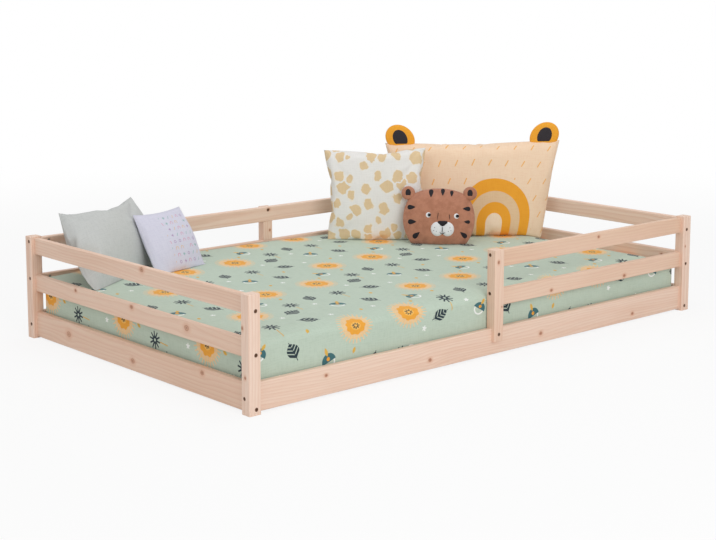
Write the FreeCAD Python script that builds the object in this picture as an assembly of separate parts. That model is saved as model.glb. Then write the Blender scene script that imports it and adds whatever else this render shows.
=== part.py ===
"""Toddler floor bed: pine frame with two and three rails, slatted base, mattress and loose cushions.

Millimetres. +X runs along the bed's length and +Z is up. The origin is at the middle of the
footprint, on the floor. The entry side, with the shorter guard, faces -Y.
"""

import FreeCAD, Part
import math
import os
from FreeCAD import Vector

# Mattress: the bed is built round it
MATTRESS_LENGTH = 1996.0
MATTRESS_WIDTH = 1190.0
MATTRESS_HEIGHT = 150.0
MATTRESS_CORNER_R = 45.0
MATTRESS_TOP_R = 26.0
MATTRESS_BOTTOM_R = 16.0
MATTRESS_GAP = 6.0
SHEET_T = 1.0
SHEET_HEM = 120.0
SOFT_GAP = 0.3

# Posts and rails
POST_X = 43.0
POST_Y = 39.0
POST_H = 358.0
POST_ROUND = 4.0
RAIL_T = 22.0
RAIL_INSET = 14.0
RAIL_ROUND = 4.0
RAIL_H = 57.0
BOTTOM_RAIL_H = 88.0
FLOOR_GAP = 5.0
TOP_GAP = 5.0
LAP_DROP = 43.0
LAP_BOLT_DROP = 20.0

# Bolted joints
BOLT_R = 3.0
BOLT_HOLE_R = 3.5
HEAD_R = 5.8
HEAD_H = 2.4
HEAD_GAP = 0.5
RECESS = 3.2
SOCKET_R = 2.3
SOCKET_DEPTH = 1.6
BOLT_EDGE = 12.5
NUT_INSET = 30.0
NUT_R = 5.0
NUT_LENGTH = 14.0
NUT_GAP = 0.3
BOLT_OVERRUN = 7.0
DOWEL_R = 4.0
DOWEL_LENGTH = 34.0
DOWEL_IN_POST = 12.0
DOWEL_GAP = 0.3
DOWEL_SPREAD = 26.0

# Slatted base
SLAT_COUNT = 14
SLAT_WIDTH = 80.0
SLAT_T = 18.0
SLAT_ROUND = 3.0
SLAT_END_GAP = 3.0
SLAT_FIRST_GAP = 9.0
SLAT_SEAT_Z = 44.0
LEDGER_T = 20.0
LEDGER_H = 30.0
LEDGER_END_GAP = 2.0
LEDGER_SCREWS = 7
LEDGER_SCREW_END = 90.0
BEAM_WIDTH = 40.0
BEAM_H = 32.0
BEAM_END_GAP = 1.0
BEAM_TONGUE_H = 18.0
FOOT_R = 19.0
FOOT_COUNT = 3
CLEAT_WIDTH = 70.0
CLEAT_T = 22.0
CLEAT_BOTTOM_Z = 8.0
CLEAT_SCREW_SPREAD = 44.0
TAPE_WIDTH = 25.0
TAPE_T = 1.2
TAPE_OFFSET = 300.0
STAPLE_WIDTH = 11.0
STAPLE_WIRE = 1.0
STAPLE_LEG = 7.0
STAPLE_GAP = 0.2
SCREW_R = 2.0
SCREW_HEAD_R = 3.9
SCREW_GAP = 0.3
SCREW_LENGTH = 36.0
SCREW_HEAD_H = 2.2

# Cushions: each seam corner lies so far in from the end rails, so far in from the rear rails
# and so high above the made bed
GREY_CORNERS = [(39, 363, 0), (364, 138, 0), (374, 3, 241), (39, 68, 226)]
WHITE_CORNERS = [(305, 272, 0), (540, 222, 0), (513, 94, 201), (278, 144, 201)]
SPOTTED_CORNERS = [(799, 118, 0), (500, 369, 0), (474, 338, 357), (767, 58, 346)]
EARED_CORNERS = [(500, 245, 0), (97, 613, 0), (4, 618, 366), (514, 148, 348)]
PLUSH_CORNERS = [(636, 375, 0), (442, 577, 0), (410, 546, 205), (604, 344, 205)]
GREY_T = 112.0
WHITE_T = 70.0
SPOTTED_T = 112.0
EARED_T = 120.0
PLUSH_T = 95.0
SEAM_T = 12.0
CUSHION_SINK = 16.0
TOP_DRAWN_IN = 14.0
PLUSH_CROWN = 16.0
BIG_EAR_R = 56.0
BIG_EAR_T = 14.0
BIG_EAR_IN = 44.0
BIG_EAR_UP = 34.0
SMALL_EAR_R = 26.0
SMALL_EAR_T = 16.0
SMALL_EAR_IN = 32.0
SMALL_EAR_UP = 6.0

# Worked out from the sizes above
RAIL_BACK = RAIL_INSET + RAIL_T
HALF_X = MATTRESS_LENGTH / 2 + MATTRESS_GAP + RAIL_BACK
HALF_Y = MATTRESS_WIDTH / 2 + MATTRESS_GAP + RAIL_BACK
RAIL_MID = RAIL_INSET + RAIL_T / 2
BOTTOM_Z = FLOOR_GAP
BOTTOM_TOP = BOTTOM_Z + BOTTOM_RAIL_H
UPPER_Z = POST_H - TOP_GAP - RAIL_H
LOWER_Z = (BOTTOM_TOP + UPPER_Z - RAIL_H) / 2
SLAT_TOP = SLAT_SEAT_Z + SLAT_T
MATTRESS_Z = SLAT_TOP + SOFT_GAP + SHEET_T + SOFT_GAP
BED_TOP = MATTRESS_Z + MATTRESS_HEIGHT + SOFT_GAP + SHEET_T
SIDE_BOLT_Z = BOTTOM_Z + BOTTOM_RAIL_H / 2
LAP_Z = BOTTOM_TOP - LAP_DROP
LAP_BOLT_Z = BOTTOM_TOP - LAP_BOLT_DROP
MID_X0 = -POST_X / 2
MID_X1 = POST_X / 2

X = Vector(1, 0, 0)
Y = Vector(0, 1, 0)
Z = Vector(0, 0, 1)


def save(name, shape):
    """Write one node."""
    shape.exportStep("parts/" + name + ".step")


def group(solids):
    """Separate solids that share a node."""
    return Part.makeCompound(solids)


def block(x0, x1, y0, y1, z0, z1):
    """A box between two corners given in any order."""
    low = Vector(min(x0, x1), min(y0, y1), min(z0, z1))
    return Part.makeBox(abs(x1 - x0), abs(y1 - y0), abs(z1 - z0), low)


def ease(solid, axis, radius):
    """Round the edges that run along an axis, as a moulder does."""
    edges = [
        e for e in solid.Edges
        if abs(abs((e.Vertexes[1].Point - e.Vertexes[0].Point).normalize().dot(axis)) - 1) < 1e-6
    ]
    return solid.makeFillet(radius, edges)


def rod(start, axis, length, radius):
    """A round bar from a point along an axis."""
    return Part.makeCylinder(radius, length, start, axis)


class BoltedJoint:
    """A bolt through a post into a rail's end, with its barrel nut.

    start is on the post's outer face, along runs from the post into the rail, inside points to
    the rail's inner face, and depth is the post's size along the bolt.
    """

    def __init__(self, start, along, inside, depth):
        self.start = start
        self.along = along
        self.inside = inside
        self.depth = depth
        self.nut_centre = start + along * (depth + NUT_INSET)

    def holes(self):
        """The recess, the bolt's hole and the nut's hole from the rail's inner face."""
        bolt_end = self.depth + NUT_INSET + BOLT_OVERRUN + DOWEL_GAP
        nut_back = self.nut_centre - self.inside * (NUT_LENGTH / 2 + NUT_GAP)
        nut_hole_length = NUT_LENGTH / 2 + NUT_GAP + RAIL_T / 2
        return [
            rod(self.start, self.along, RECESS, HEAD_R + HEAD_GAP),
            rod(self.start, self.along, bolt_end, BOLT_HOLE_R),
            rod(nut_back, self.inside, nut_hole_length, NUT_R + NUT_GAP),
        ]

    def bolt(self):
        """A flat round head with a hexagon socket, and a plain shank."""
        return socket_bolt(self.start, self.along, self.depth + NUT_INSET + BOLT_OVERRUN - RECESS)

    def nut(self):
        """A cross dowel of metal with the bolt's hole through it."""
        body = rod(self.nut_centre - self.inside * (NUT_LENGTH / 2), self.inside, NUT_LENGTH, NUT_R)
        return body.cut(rod(self.nut_centre - self.along * NUT_R * 2, self.along, NUT_R * 4,
                            BOLT_R + NUT_GAP / 2))


def socket_bolt(start, along, shank_length):
    """A bolt whose head lies in a recess that starts at a point of the outer face."""
    seat = start + along * RECESS
    head = rod(seat - along * HEAD_H, along, HEAD_H, HEAD_R)
    shank = rod(seat, along, shank_length, BOLT_R)
    side = Z
    across = along.cross(side)
    top = seat - along * HEAD_H
    corners = []
    for i in range(7):
        turn = math.radians(60 * i)
        corners.append(top + (side * math.cos(turn) + across * math.sin(turn)) * SOCKET_R)
    socket = Part.Face(Part.makePolygon(corners)).extrude(along * SOCKET_DEPTH)
    return head.fuse(shank).cut(socket).removeSplitter()


class LapJoint:
    """A bolt across a lap of rail and post, with a round nut let in flush on the far face."""

    def __init__(self, start, along, depth):
        self.start = start
        self.along = along
        self.depth = depth

    def holes(self):
        """The head's recess, the hole through the lap, and the nut's recess."""
        far = self.start + self.along * (self.depth - RECESS)
        return [
            rod(self.start, self.along, RECESS, HEAD_R + HEAD_GAP),
            rod(self.start, self.along, self.depth, BOLT_HOLE_R),
            rod(far, self.along, RECESS, HEAD_R + HEAD_GAP),
        ]

    def bolt(self):
        """The bolt stops short of the nut's outer face."""
        return socket_bolt(self.start, self.along, self.depth - RECESS - HEAD_H / 2)

    def nut(self):
        """A round nut seated at the bottom of its recess."""
        seat = self.start + self.along * (self.depth - RECESS)
        return rod(seat, self.along, HEAD_H, HEAD_R).cut(
            rod(seat, self.along, HEAD_H, BOLT_R + NUT_GAP / 2))


def dowel_hole(face, into_rail, in_post=DOWEL_IN_POST):
    """The hole that a dowel needs in both pieces; face is on the joint's meeting face."""
    start = face - into_rail * (in_post + DOWEL_GAP)
    return rod(start, into_rail, DOWEL_LENGTH + 2 * DOWEL_GAP, DOWEL_R + DOWEL_GAP)


def dowel(face, into_rail, in_post=DOWEL_IN_POST):
    """A beech dowel with its ends eased."""
    pin = rod(face - into_rail * in_post, into_rail, DOWEL_LENGTH, DOWEL_R)
    return pin.makeChamfer(DOWEL_R / 5, [e for e in pin.Edges if len(e.Vertexes) == 1])


def screw_hole(seat, along):
    """A countersunk hole for a wood screw."""
    head = Part.makeCone(SCREW_HEAD_R + SCREW_GAP, SCREW_R + SCREW_GAP, SCREW_HEAD_H, seat, along)
    return head.fuse(rod(seat, along, SCREW_LENGTH + SCREW_GAP, SCREW_R + SCREW_GAP))


def screw(seat, along):
    """A countersunk wood screw: flat head, shank and point."""
    tip = SCREW_R * 2
    head = Part.makeCone(SCREW_HEAD_R, SCREW_R, SCREW_HEAD_H, seat, along)
    shank = rod(seat, along, SCREW_LENGTH - tip, SCREW_R)
    point = Part.makeCone(SCREW_R, SCREW_R / 4, tip, seat + along * (SCREW_LENGTH - tip), along)
    return head.fuse([shank, point]).removeSplitter()


# ---------------------------------------------------------------- bolted joints of the frame
def end_bolt_height(bottom):
    """The bolts into the end rails sit near each rail's lower edge, clear of the side bolts."""
    return bottom + BOLT_EDGE


def side_bolt_height(bottom, height):
    """The bolts into the long guard rails sit near each rail's upper edge."""
    return bottom + height - BOLT_EDGE


END_RAILS = {
    "bottom": (BOTTOM_Z, BOTTOM_RAIL_H),
    "lower": (LOWER_Z, RAIL_H),
    "upper": (UPPER_Z, RAIL_H),
}

# Every corner has a post, named by its side (-Y is front) and its end (-X is left)
CORNERS = {
    "front_left": (-1, -1),
    "front_right": (1, -1),
    "rear_left": (-1, 1),
    "rear_right": (1, 1),
}


def end_joints(sx, sy):
    """The three bolts from a corner post's long face into the end rails."""
    x = sx * (HALF_X - RAIL_MID)
    return [
        BoltedJoint(Vector(x, sy * HALF_Y, end_bolt_height(bottom)), Y * -sy, X * -sx, POST_Y)
        for bottom, height in END_RAILS.values()
    ]


def side_joint(x, sy, along, z):
    """A bolt through a post of the long side into a long rail's end."""
    return BoltedJoint(Vector(x, sy * (HALF_Y - RAIL_MID), z), along, Y * -sy, POST_X)


def corner_side_joints(sx, sy):
    """The bolts from a corner post's end face into the long rails that meet it."""
    heights = [SIDE_BOLT_Z]
    if not (sx < 0 and sy < 0):
        heights.append(side_bolt_height(LOWER_Z, RAIL_H))
        heights.append(side_bolt_height(UPPER_Z, RAIL_H))
    return [side_joint(sx * HALF_X, sy, X * -sx, z) for z in heights]


def middle_guard_joints():
    """The bolts from the front middle post into the two guard rails."""
    return [
        side_joint(MID_X0, -1, X, side_bolt_height(bottom, RAIL_H))
        for bottom in (LOWER_Z, UPPER_Z)
    ]


def end_dowel_faces(sx, sy):
    """Where the end rails' dowels cross from post to rail."""
    heights = [SIDE_BOLT_Z + DOWEL_SPREAD / 2, LOWER_Z + RAIL_H / 2, UPPER_Z + RAIL_H / 2]
    x = sx * (HALF_X - RAIL_MID)
    return [(Vector(x, sy * (HALF_Y - POST_Y), z), Y * -sy) for z in heights]


def side_dowel_faces(x, sy, along, guard, bottom=True):
    """Where the long rails' dowels cross from a post's inner face at x to the rails."""
    heights = [SIDE_BOLT_Z - DOWEL_SPREAD, SIDE_BOLT_Z + DOWEL_SPREAD] if bottom else []
    if guard:
        heights += [LOWER_Z + RAIL_H / 2, UPPER_Z + RAIL_H / 2]
    return [(Vector(x, sy * (HALF_Y - RAIL_MID), z), along) for z in heights]


def corner_side_dowels(sx, sy):
    """The long rails' dowels at a corner post."""
    return side_dowel_faces(sx * (HALF_X - POST_X), sy, X * -sx, not (sx < 0 and sy < 0))


FRONT_LAP = LapJoint(Vector(0, -HALF_Y, LAP_BOLT_Z), Y, RAIL_BACK)
REAR_LAPS = [
    LapJoint(Vector(0, HALF_Y - RAIL_BACK, z), Y, RAIL_BACK)
    for z in (LAP_BOLT_Z, side_bolt_height(LOWER_Z, RAIL_H), side_bolt_height(UPPER_Z, RAIL_H))
]

END_JOINTS = []
SIDE_JOINTS = []
DOWEL_FACES = []
for sx, sy in CORNERS.values():
    END_JOINTS += end_joints(sx, sy)
    SIDE_JOINTS += corner_side_joints(sx, sy)
    DOWEL_FACES += end_dowel_faces(sx, sy)
    DOWEL_FACES += corner_side_dowels(sx, sy)
SIDE_JOINTS += middle_guard_joints()
DOWEL_FACES += side_dowel_faces(MID_X1, -1, X, True, bottom=False)


LAP_JOINTS = [FRONT_LAP] + REAR_LAPS
FRAME_HOLES = []
for joint in END_JOINTS + SIDE_JOINTS + LAP_JOINTS:
    FRAME_HOLES += joint.holes()
for face, into_rail in DOWEL_FACES:
    FRAME_HOLES.append(dowel_hole(face, into_rail))


def bored(solid, holes):
    """Take out of a piece of wood those holes that reach it."""
    tools = [hole for hole in holes if hole.BoundBox.intersect(solid.BoundBox)]
    return solid.cut(tools) if tools else solid


# ------------------------------------------------------------------------------- posts
def top_edges(solid):
    """The edges round a post's top."""
    return [e for e in solid.Edges if e.BoundBox.ZMin > solid.BoundBox.ZMax - 0.01]


def corner_post(sx, sy):
    """A post with eased edges, bored for its bolts and dowels."""
    post = block(sx * HALF_X, sx * (HALF_X - POST_X), sy * HALF_Y, sy * (HALF_Y - POST_Y), 0, POST_H)
    post = ease(post, Z, POST_ROUND)
    post = post.makeChamfer(POST_ROUND / 3, top_edges(post))
    return bored(post, FRAME_HOLES)


def middle_post(sy, depth, top):
    """A post halfway along a side: it stands on the bottom rail and laps over its outer face."""
    post = block(MID_X0, MID_X1, sy * HALF_Y, sy * (HALF_Y - depth), LAP_Z, top)
    post = ease(post, Z, POST_ROUND)
    behind = block(MID_X0, MID_X1, sy * (HALF_Y - RAIL_INSET), sy * (HALF_Y - POST_Y), LAP_Z,
                   BOTTOM_TOP)
    return post.cut(behind)


def front_middle_post():
    """The post where the entry gap ends and the guard rails begin."""
    post = middle_post(-1, POST_Y, POST_H)
    post = post.makeChamfer(POST_ROUND / 3, top_edges(post))
    return bored(post, FRAME_HOLES)


def rear_middle_post():
    """The rear post is notched, so that both guard rails run past it in one length."""
    post = middle_post(1, RAIL_BACK, UPPER_Z + RAIL_H)
    notch_back = HALF_Y - RAIL_INSET
    notches = [
        block(MID_X0, MID_X1, notch_back, notch_back - RAIL_T, bottom, bottom + RAIL_H)
        for bottom in (LOWER_Z, UPPER_Z)
    ]
    return bored(post.cut(notches), FRAME_HOLES)


# ------------------------------------------------------------------------------- rails
def long_rail(sy, bottom, height, x0, holes):
    """A rail along X on one long side, from x0 to the right-hand post."""
    rail = block(x0, HALF_X - POST_X, sy * (HALF_Y - RAIL_INSET), sy * (HALF_Y - RAIL_BACK), bottom,
                 bottom + height)
    return bored(ease(rail, X, RAIL_ROUND), holes)


def end_rail(sx, bottom, height, holes):
    """A rail along Y between two corner posts."""
    rail = block(sx * (HALF_X - RAIL_INSET), sx * (HALF_X - RAIL_BACK), -(HALF_Y - POST_Y),
                 HALF_Y - POST_Y, bottom, bottom + height)
    return bored(ease(rail, Y, RAIL_ROUND), holes)


# -------------------------------------------------------------------------- slatted base
INNER_X = HALF_X - RAIL_BACK
INNER_Y = HALF_Y - RAIL_BACK
LEDGER_Z = SLAT_SEAT_Z - LEDGER_H
LEDGER_HALF = HALF_X - POST_X - LEDGER_END_GAP
BEAM_Z = SLAT_SEAT_Z - BEAM_H
CLEAT_TOP = SLAT_SEAT_Z - BEAM_TONGUE_H
SLAT_PITCH = (2 * (INNER_X - SLAT_FIRST_GAP) - SLAT_WIDTH) / (SLAT_COUNT - 1)
SLAT_CENTRES = [(i - (SLAT_COUNT - 1) / 2) * SLAT_PITCH for i in range(SLAT_COUNT)]
TAPE_CENTRES = [-TAPE_OFFSET, TAPE_OFFSET]
STAPLE_BACK = SLAT_SEAT_Z - TAPE_T - STAPLE_WIRE
FOOT_PITCH = 2 * INNER_X / (FOOT_COUNT + 1)
FOOT_CENTRES = [(i - (FOOT_COUNT - 1) / 2) * FOOT_PITCH for i in range(FOOT_COUNT)]
SLAT_SCREW_Y = INNER_Y - LEDGER_T / 2


def ledger_screw_places(sy):
    """Seats of the screws that hold a ledger to its long bottom rail."""
    reach = LEDGER_HALF - LEDGER_SCREW_END
    pitch = 2 * reach / (LEDGER_SCREWS - 1)
    y = sy * (INNER_Y - LEDGER_T)
    return [Vector(-reach + i * pitch, y, LEDGER_Z + LEDGER_H / 2) for i in range(LEDGER_SCREWS)]


def cleat_screw_places(sx):
    """Seats of the screws that hold a beam cleat to its end rail."""
    x = sx * (INNER_X - CLEAT_T)
    z = (CLEAT_BOTTOM_Z + CLEAT_TOP) / 2
    return [Vector(x, y, z) for y in (-CLEAT_SCREW_SPREAD / 2, CLEAT_SCREW_SPREAD / 2)]


LEDGER_SCREW_PLACES = [(p, Y * sy) for sy in (-1, 1) for p in ledger_screw_places(sy)]
CLEAT_SCREW_PLACES = [(p, X * sx) for sx in (-1, 1) for p in cleat_screw_places(sx)]
SLAT_SCREW_PLACES = [
    (Vector(x, y, SLAT_TOP), Z * -1)
    for x in (SLAT_CENTRES[0], SLAT_CENTRES[-1])
    for y in (-SLAT_SCREW_Y, SLAT_SCREW_Y)
]
LEDGER_SCREW_HOLES = [screw_hole(*place) for place in LEDGER_SCREW_PLACES]
CLEAT_SCREW_HOLES = [screw_hole(*place) for place in CLEAT_SCREW_PLACES]
SLAT_SCREW_HOLES = [screw_hole(*place) for place in SLAT_SCREW_PLACES]


def ledger(sy):
    """The strip along a long bottom rail that the slats' ends rest on."""
    strip = block(-LEDGER_HALF, LEDGER_HALF, sy * INNER_Y, sy * (INNER_Y - LEDGER_T), LEDGER_Z,
                  SLAT_SEAT_Z)
    return bored(strip, LEDGER_SCREW_HOLES + SLAT_SCREW_HOLES)


def cleat(sx):
    """The block on an end rail that carries the centre beam's tongue."""
    shape = block(sx * INNER_X, sx * (INNER_X - CLEAT_T), -CLEAT_WIDTH / 2, CLEAT_WIDTH / 2,
                  CLEAT_BOTTOM_Z, CLEAT_TOP)
    return bored(shape, CLEAT_SCREW_HOLES)


def beam_foot(x, spare):
    """A round foot with a spigot; spare widens the spigot into its hole."""
    spigot = rod(Vector(x, 0, BEAM_Z), Z, BEAM_TONGUE_H + spare, FOOT_R / 3 + spare)
    return spigot if spare else spigot.fuse(rod(Vector(x, 0, 0), Z, BEAM_Z, FOOT_R)).removeSplitter()


def centre_beam():
    """The lengthwise beam under the slats, thinned at each end to rest on its cleat."""
    half = INNER_X - BEAM_END_GAP
    beam = block(-half, half, -BEAM_WIDTH / 2, BEAM_WIDTH / 2, BEAM_Z, SLAT_SEAT_Z)
    shoulder = INNER_X - CLEAT_T - BEAM_END_GAP
    rebates = [
        block(sx * shoulder, sx * half, -BEAM_WIDTH / 2, BEAM_WIDTH / 2, BEAM_Z, CLEAT_TOP)
        for sx in (-1, 1)
    ]
    return beam.cut(rebates + [beam_foot(x, DOWEL_GAP) for x in FOOT_CENTRES])


def staple(x, y, spare):
    """A staple under a tape, legs up in the slat; spare widens the legs into their slots."""
    wire = STAPLE_WIRE / 2 + spare
    legs = []
    for side in (-1, 1):
        leg_x = x + side * (STAPLE_WIDTH - STAPLE_WIRE) / 2
        legs.append(block(leg_x - wire, leg_x + wire, y - wire, y + wire, STAPLE_BACK + STAPLE_WIRE,
                          SLAT_SEAT_Z + STAPLE_LEG + spare))
    if spare:
        return legs
    back = block(x - STAPLE_WIDTH / 2, x + STAPLE_WIDTH / 2, y - wire, y + wire, STAPLE_BACK,
                 STAPLE_BACK + STAPLE_WIRE)
    return back.fuse(legs).removeSplitter()


STAPLE_PLACES = [(x, y) for x in SLAT_CENTRES for y in TAPE_CENTRES]
STAPLE_SLOTS = [leg for x, y in STAPLE_PLACES for leg in staple(x, y, STAPLE_GAP)]


def slat(x):
    """A slat with rounded long edges and, at the bed's ends, its screw holes."""
    half = INNER_Y - SLAT_END_GAP
    board = block(x - SLAT_WIDTH / 2, x + SLAT_WIDTH / 2, -half, half, SLAT_SEAT_Z, SLAT_TOP)
    return bored(ease(board, Y, SLAT_ROUND), SLAT_SCREW_HOLES + STAPLE_SLOTS)


def tape(y):
    """A webbing tape that keeps the slats at their pitch."""
    reach = SLAT_CENTRES[-1] + SLAT_WIDTH / 3
    strip = block(-reach, reach, y - TAPE_WIDTH / 2, y + TAPE_WIDTH / 2, SLAT_SEAT_Z - TAPE_T,
                  SLAT_SEAT_Z)
    return bored(strip, STAPLE_SLOTS)


# ---------------------------------------------------------------------------- mattress
def mattress_form(grow):
    """The mattress's outside, grown by a distance on every side."""
    half_x = MATTRESS_LENGTH / 2 + grow
    half_y = MATTRESS_WIDTH / 2 + grow
    form = block(-half_x, half_x, -half_y, half_y, MATTRESS_Z - grow,
                 MATTRESS_Z + MATTRESS_HEIGHT + grow)
    form = ease(form, Z, MATTRESS_CORNER_R + grow)
    form = form.makeFillet(MATTRESS_TOP_R + grow, top_edges(form))
    lower = [e for e in form.Edges if e.BoundBox.ZMax < MATTRESS_Z - grow + 0.01]
    return form.makeFillet(MATTRESS_BOTTOM_R + grow, lower)


def fitted_sheet():
    """The sheet over the mattress, turned under it all round in a hem."""
    shell = mattress_form(SOFT_GAP + SHEET_T).cut(mattress_form(SOFT_GAP))
    open_x = MATTRESS_LENGTH / 2 - SHEET_HEM
    open_y = MATTRESS_WIDTH / 2 - SHEET_HEM
    return shell.cut(block(-open_x, open_x, -open_y, open_y, 0, MATTRESS_Z))


# ---------------------------------------------------------------------------- cushions
STATIONS = [0.0, 0.07, 0.22, 0.5, 0.78, 0.93, 1.0]


def seam_corners(corners, end):
    """A cushion's corners in the bed's own axes; end is -1 for the left end and 1 for the right."""
    return [
        Vector(end * (INNER_X - inward), INNER_Y - across, BED_TOP + up)
        for inward, across, up in corners
    ]


def fullness(share):
    """How full a cushion is at a share of its width: thin at its sides, full in the middle."""
    return math.sqrt(math.sin(math.pi * share))


def lens(bottom, top, normal, thick):
    """A section of a cushion: two arcs from the bottom seam to the top seam."""
    middle = (bottom + top) / 2
    front = Part.Arc(bottom, middle - normal * (thick / 2), top).toShape()
    back = Part.Arc(top, middle + normal * (thick / 2), bottom).toShape()
    return Part.Wire([front, back])


def cushion(corners, end, thick, top_rise):
    """A stuffed cushion between its four seam corners, flat where it rests on the bed.

    top_rise moves the middle of the top seam: down where it is drawn in, up where it is crowned.
    """
    bl, br, tr, tl = seam_corners(corners, end)
    across = (br - bl) + (tr - tl)
    sections = []
    for share in STATIONS:
        bottom = bl + (br - bl) * share - Z * CUSHION_SINK
        top = tl + (tr - tl) * share
        up = (top - bottom).normalize()
        top = top + up * (top_rise * math.sin(math.pi * share))
        normal = across.cross(up).normalize()
        sections.append(lens(bottom, top, normal, SEAM_T + (thick - SEAM_T) * fullness(share)))
    form = Part.makeLoft(sections, True, False)
    box = form.BoundBox
    under = block(box.XMin - 1, box.XMax + 1, box.YMin - 1, box.YMax + 1, box.ZMin - 1,
                  BED_TOP + SOFT_GAP)
    return form.cut(under)


def ears(corners, end, body, radius, thick, inset, rise):
    """Two round ears sewn into a cushion's top seam, each a soft disc in the cushion's plane."""
    bl, br, tr, tl = seam_corners(corners, end)
    across = (tr - tl).normalize()
    pair = []
    for corner, inward, below in ((tl, across, bl), (tr, across * -1, br)):
        up = (corner - below).normalize()
        normal = across.cross(up).normalize()
        centre = corner + inward * inset + up * rise
        disc = rod(centre - normal * (thick / 2), normal, thick, radius)
        disc = disc.makeFillet(thick / 3, [e for e in disc.Edges if len(e.Vertexes) == 1])
        pair.append(disc.cut(body))
    return pair


# ------------------------------------------------------------------------------- export
os.makedirs("parts", exist_ok=True)

for name, (sx, sy) in CORNERS.items():
    save("corner_post_" + name, corner_post(sx, sy))
save("middle_post_front", front_middle_post())
save("middle_post_rear", rear_middle_post())

RAIL_START = -(HALF_X - POST_X)
SIDE_HOLES = FRAME_HOLES + LEDGER_SCREW_HOLES
save("side_rail_front", long_rail(-1, BOTTOM_Z, BOTTOM_RAIL_H, RAIL_START, SIDE_HOLES))
save("side_rail_rear", long_rail(1, BOTTOM_Z, BOTTOM_RAIL_H, RAIL_START, SIDE_HOLES))
save("guard_rail_front_lower", long_rail(-1, LOWER_Z, RAIL_H, MID_X1, FRAME_HOLES))
save("guard_rail_front_upper", long_rail(-1, UPPER_Z, RAIL_H, MID_X1, FRAME_HOLES))
save("guard_rail_rear_lower", long_rail(1, LOWER_Z, RAIL_H, RAIL_START, FRAME_HOLES))
save("guard_rail_rear_upper", long_rail(1, UPPER_Z, RAIL_H, RAIL_START, FRAME_HOLES))

for side_name, sx in (("left", -1), ("right", 1)):
    for level, (bottom, height) in END_RAILS.items():
        save("end_rail_" + side_name + "_" + level,
             end_rail(sx, bottom, height, FRAME_HOLES + CLEAT_SCREW_HOLES))
    save("beam_cleat_" + side_name, cleat(sx))

save("slat_ledger_front", ledger(-1))
save("slat_ledger_rear", ledger(1))
save("centre_beam", centre_beam())
save("beam_feet", group([beam_foot(x, 0) for x in FOOT_CENTRES]))
for number, x in enumerate(SLAT_CENTRES, 1):
    save("slat_%02d" % number, slat(x))
save("slat_tapes", group([tape(y) for y in TAPE_CENTRES]))
save("tape_staples", group([staple(x, y, 0) for x, y in STAPLE_PLACES]))

save("side_rail_bolts", group([joint.bolt() for joint in SIDE_JOINTS]))
save("end_rail_bolts", group([joint.bolt() for joint in END_JOINTS]))
save("middle_post_bolts", group([joint.bolt() for joint in LAP_JOINTS]))
save("barrel_nuts", group([joint.nut() for joint in SIDE_JOINTS + END_JOINTS]))
save("round_nuts", group([joint.nut() for joint in LAP_JOINTS]))
save("dowels", group([dowel(face, into_rail) for face, into_rail in DOWEL_FACES]))
save("ledger_screws", group([screw(*place) for place in LEDGER_SCREW_PLACES]))
save("cleat_screws", group([screw(*place) for place in CLEAT_SCREW_PLACES]))
save("slat_screws", group([screw(*place) for place in SLAT_SCREW_PLACES]))

save("mattress", mattress_form(0))
save("fitted_sheet", fitted_sheet())

save("cushion_grey", cushion(GREY_CORNERS, -1, GREY_T, -TOP_DRAWN_IN))
save("cushion_white", cushion(WHITE_CORNERS, -1, WHITE_T, -TOP_DRAWN_IN))
save("cushion_spotted", cushion(SPOTTED_CORNERS, 1, SPOTTED_T, -TOP_DRAWN_IN))
EARED_BODY = cushion(EARED_CORNERS, 1, EARED_T, -TOP_DRAWN_IN)
PLUSH_BODY = cushion(PLUSH_CORNERS, 1, PLUSH_T, PLUSH_CROWN)
save("cushion_eared", EARED_BODY)
save("cushion_eared_ears", group(ears(EARED_CORNERS, 1, EARED_BODY, BIG_EAR_R, BIG_EAR_T,
                                      BIG_EAR_IN, BIG_EAR_UP)))
save("cushion_plush", PLUSH_BODY)
save("cushion_plush_ears", group(ears(PLUSH_CORNERS, 1, PLUSH_BODY, SMALL_EAR_R, SMALL_EAR_T,
                                      SMALL_EAR_IN, SMALL_EAR_UP)))
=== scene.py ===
"""Toddler floor bed: the looks of its pine, bolts, bedding and cushions, built round the frame.

Metres throughout. +X runs along the bed, the entry side faces -Y, and the floor is at z = 0.
"""

import logging
import math
from dataclasses import dataclass, field
from enum import Enum
from functools import cache
from typing import Callable, Iterable, Sequence, Union

import bpy
import numpy as np
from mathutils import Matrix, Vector
from mathutils.bvhtree import BVHTree


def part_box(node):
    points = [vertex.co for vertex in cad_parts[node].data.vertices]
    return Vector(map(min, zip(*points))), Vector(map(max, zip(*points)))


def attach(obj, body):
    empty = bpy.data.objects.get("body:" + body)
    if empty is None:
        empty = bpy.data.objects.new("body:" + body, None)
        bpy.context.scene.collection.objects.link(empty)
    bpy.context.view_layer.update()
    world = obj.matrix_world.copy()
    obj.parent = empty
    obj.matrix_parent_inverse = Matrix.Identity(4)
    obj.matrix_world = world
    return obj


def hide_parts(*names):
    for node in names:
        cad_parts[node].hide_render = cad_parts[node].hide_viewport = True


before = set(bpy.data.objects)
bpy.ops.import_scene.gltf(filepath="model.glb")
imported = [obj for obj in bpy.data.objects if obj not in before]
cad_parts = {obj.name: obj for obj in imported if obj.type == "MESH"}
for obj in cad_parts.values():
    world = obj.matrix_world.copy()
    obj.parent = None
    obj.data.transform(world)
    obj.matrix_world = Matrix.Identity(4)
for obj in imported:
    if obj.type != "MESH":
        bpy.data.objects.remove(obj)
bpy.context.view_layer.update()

LOG = logging.getLogger("floor_bed")
COVER_MAP = "cover"

Colour = tuple[float, float, float, float]
Place = tuple[float, float, float]
Flat = tuple[float, float]


class Axis(Enum):
    """An axis of the bed."""

    X = 0
    Y = 1
    Z = 2


class End(Enum):
    """The end of the bed that a cushion's place is measured from."""

    LEFT = -1
    RIGHT = 1


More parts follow.
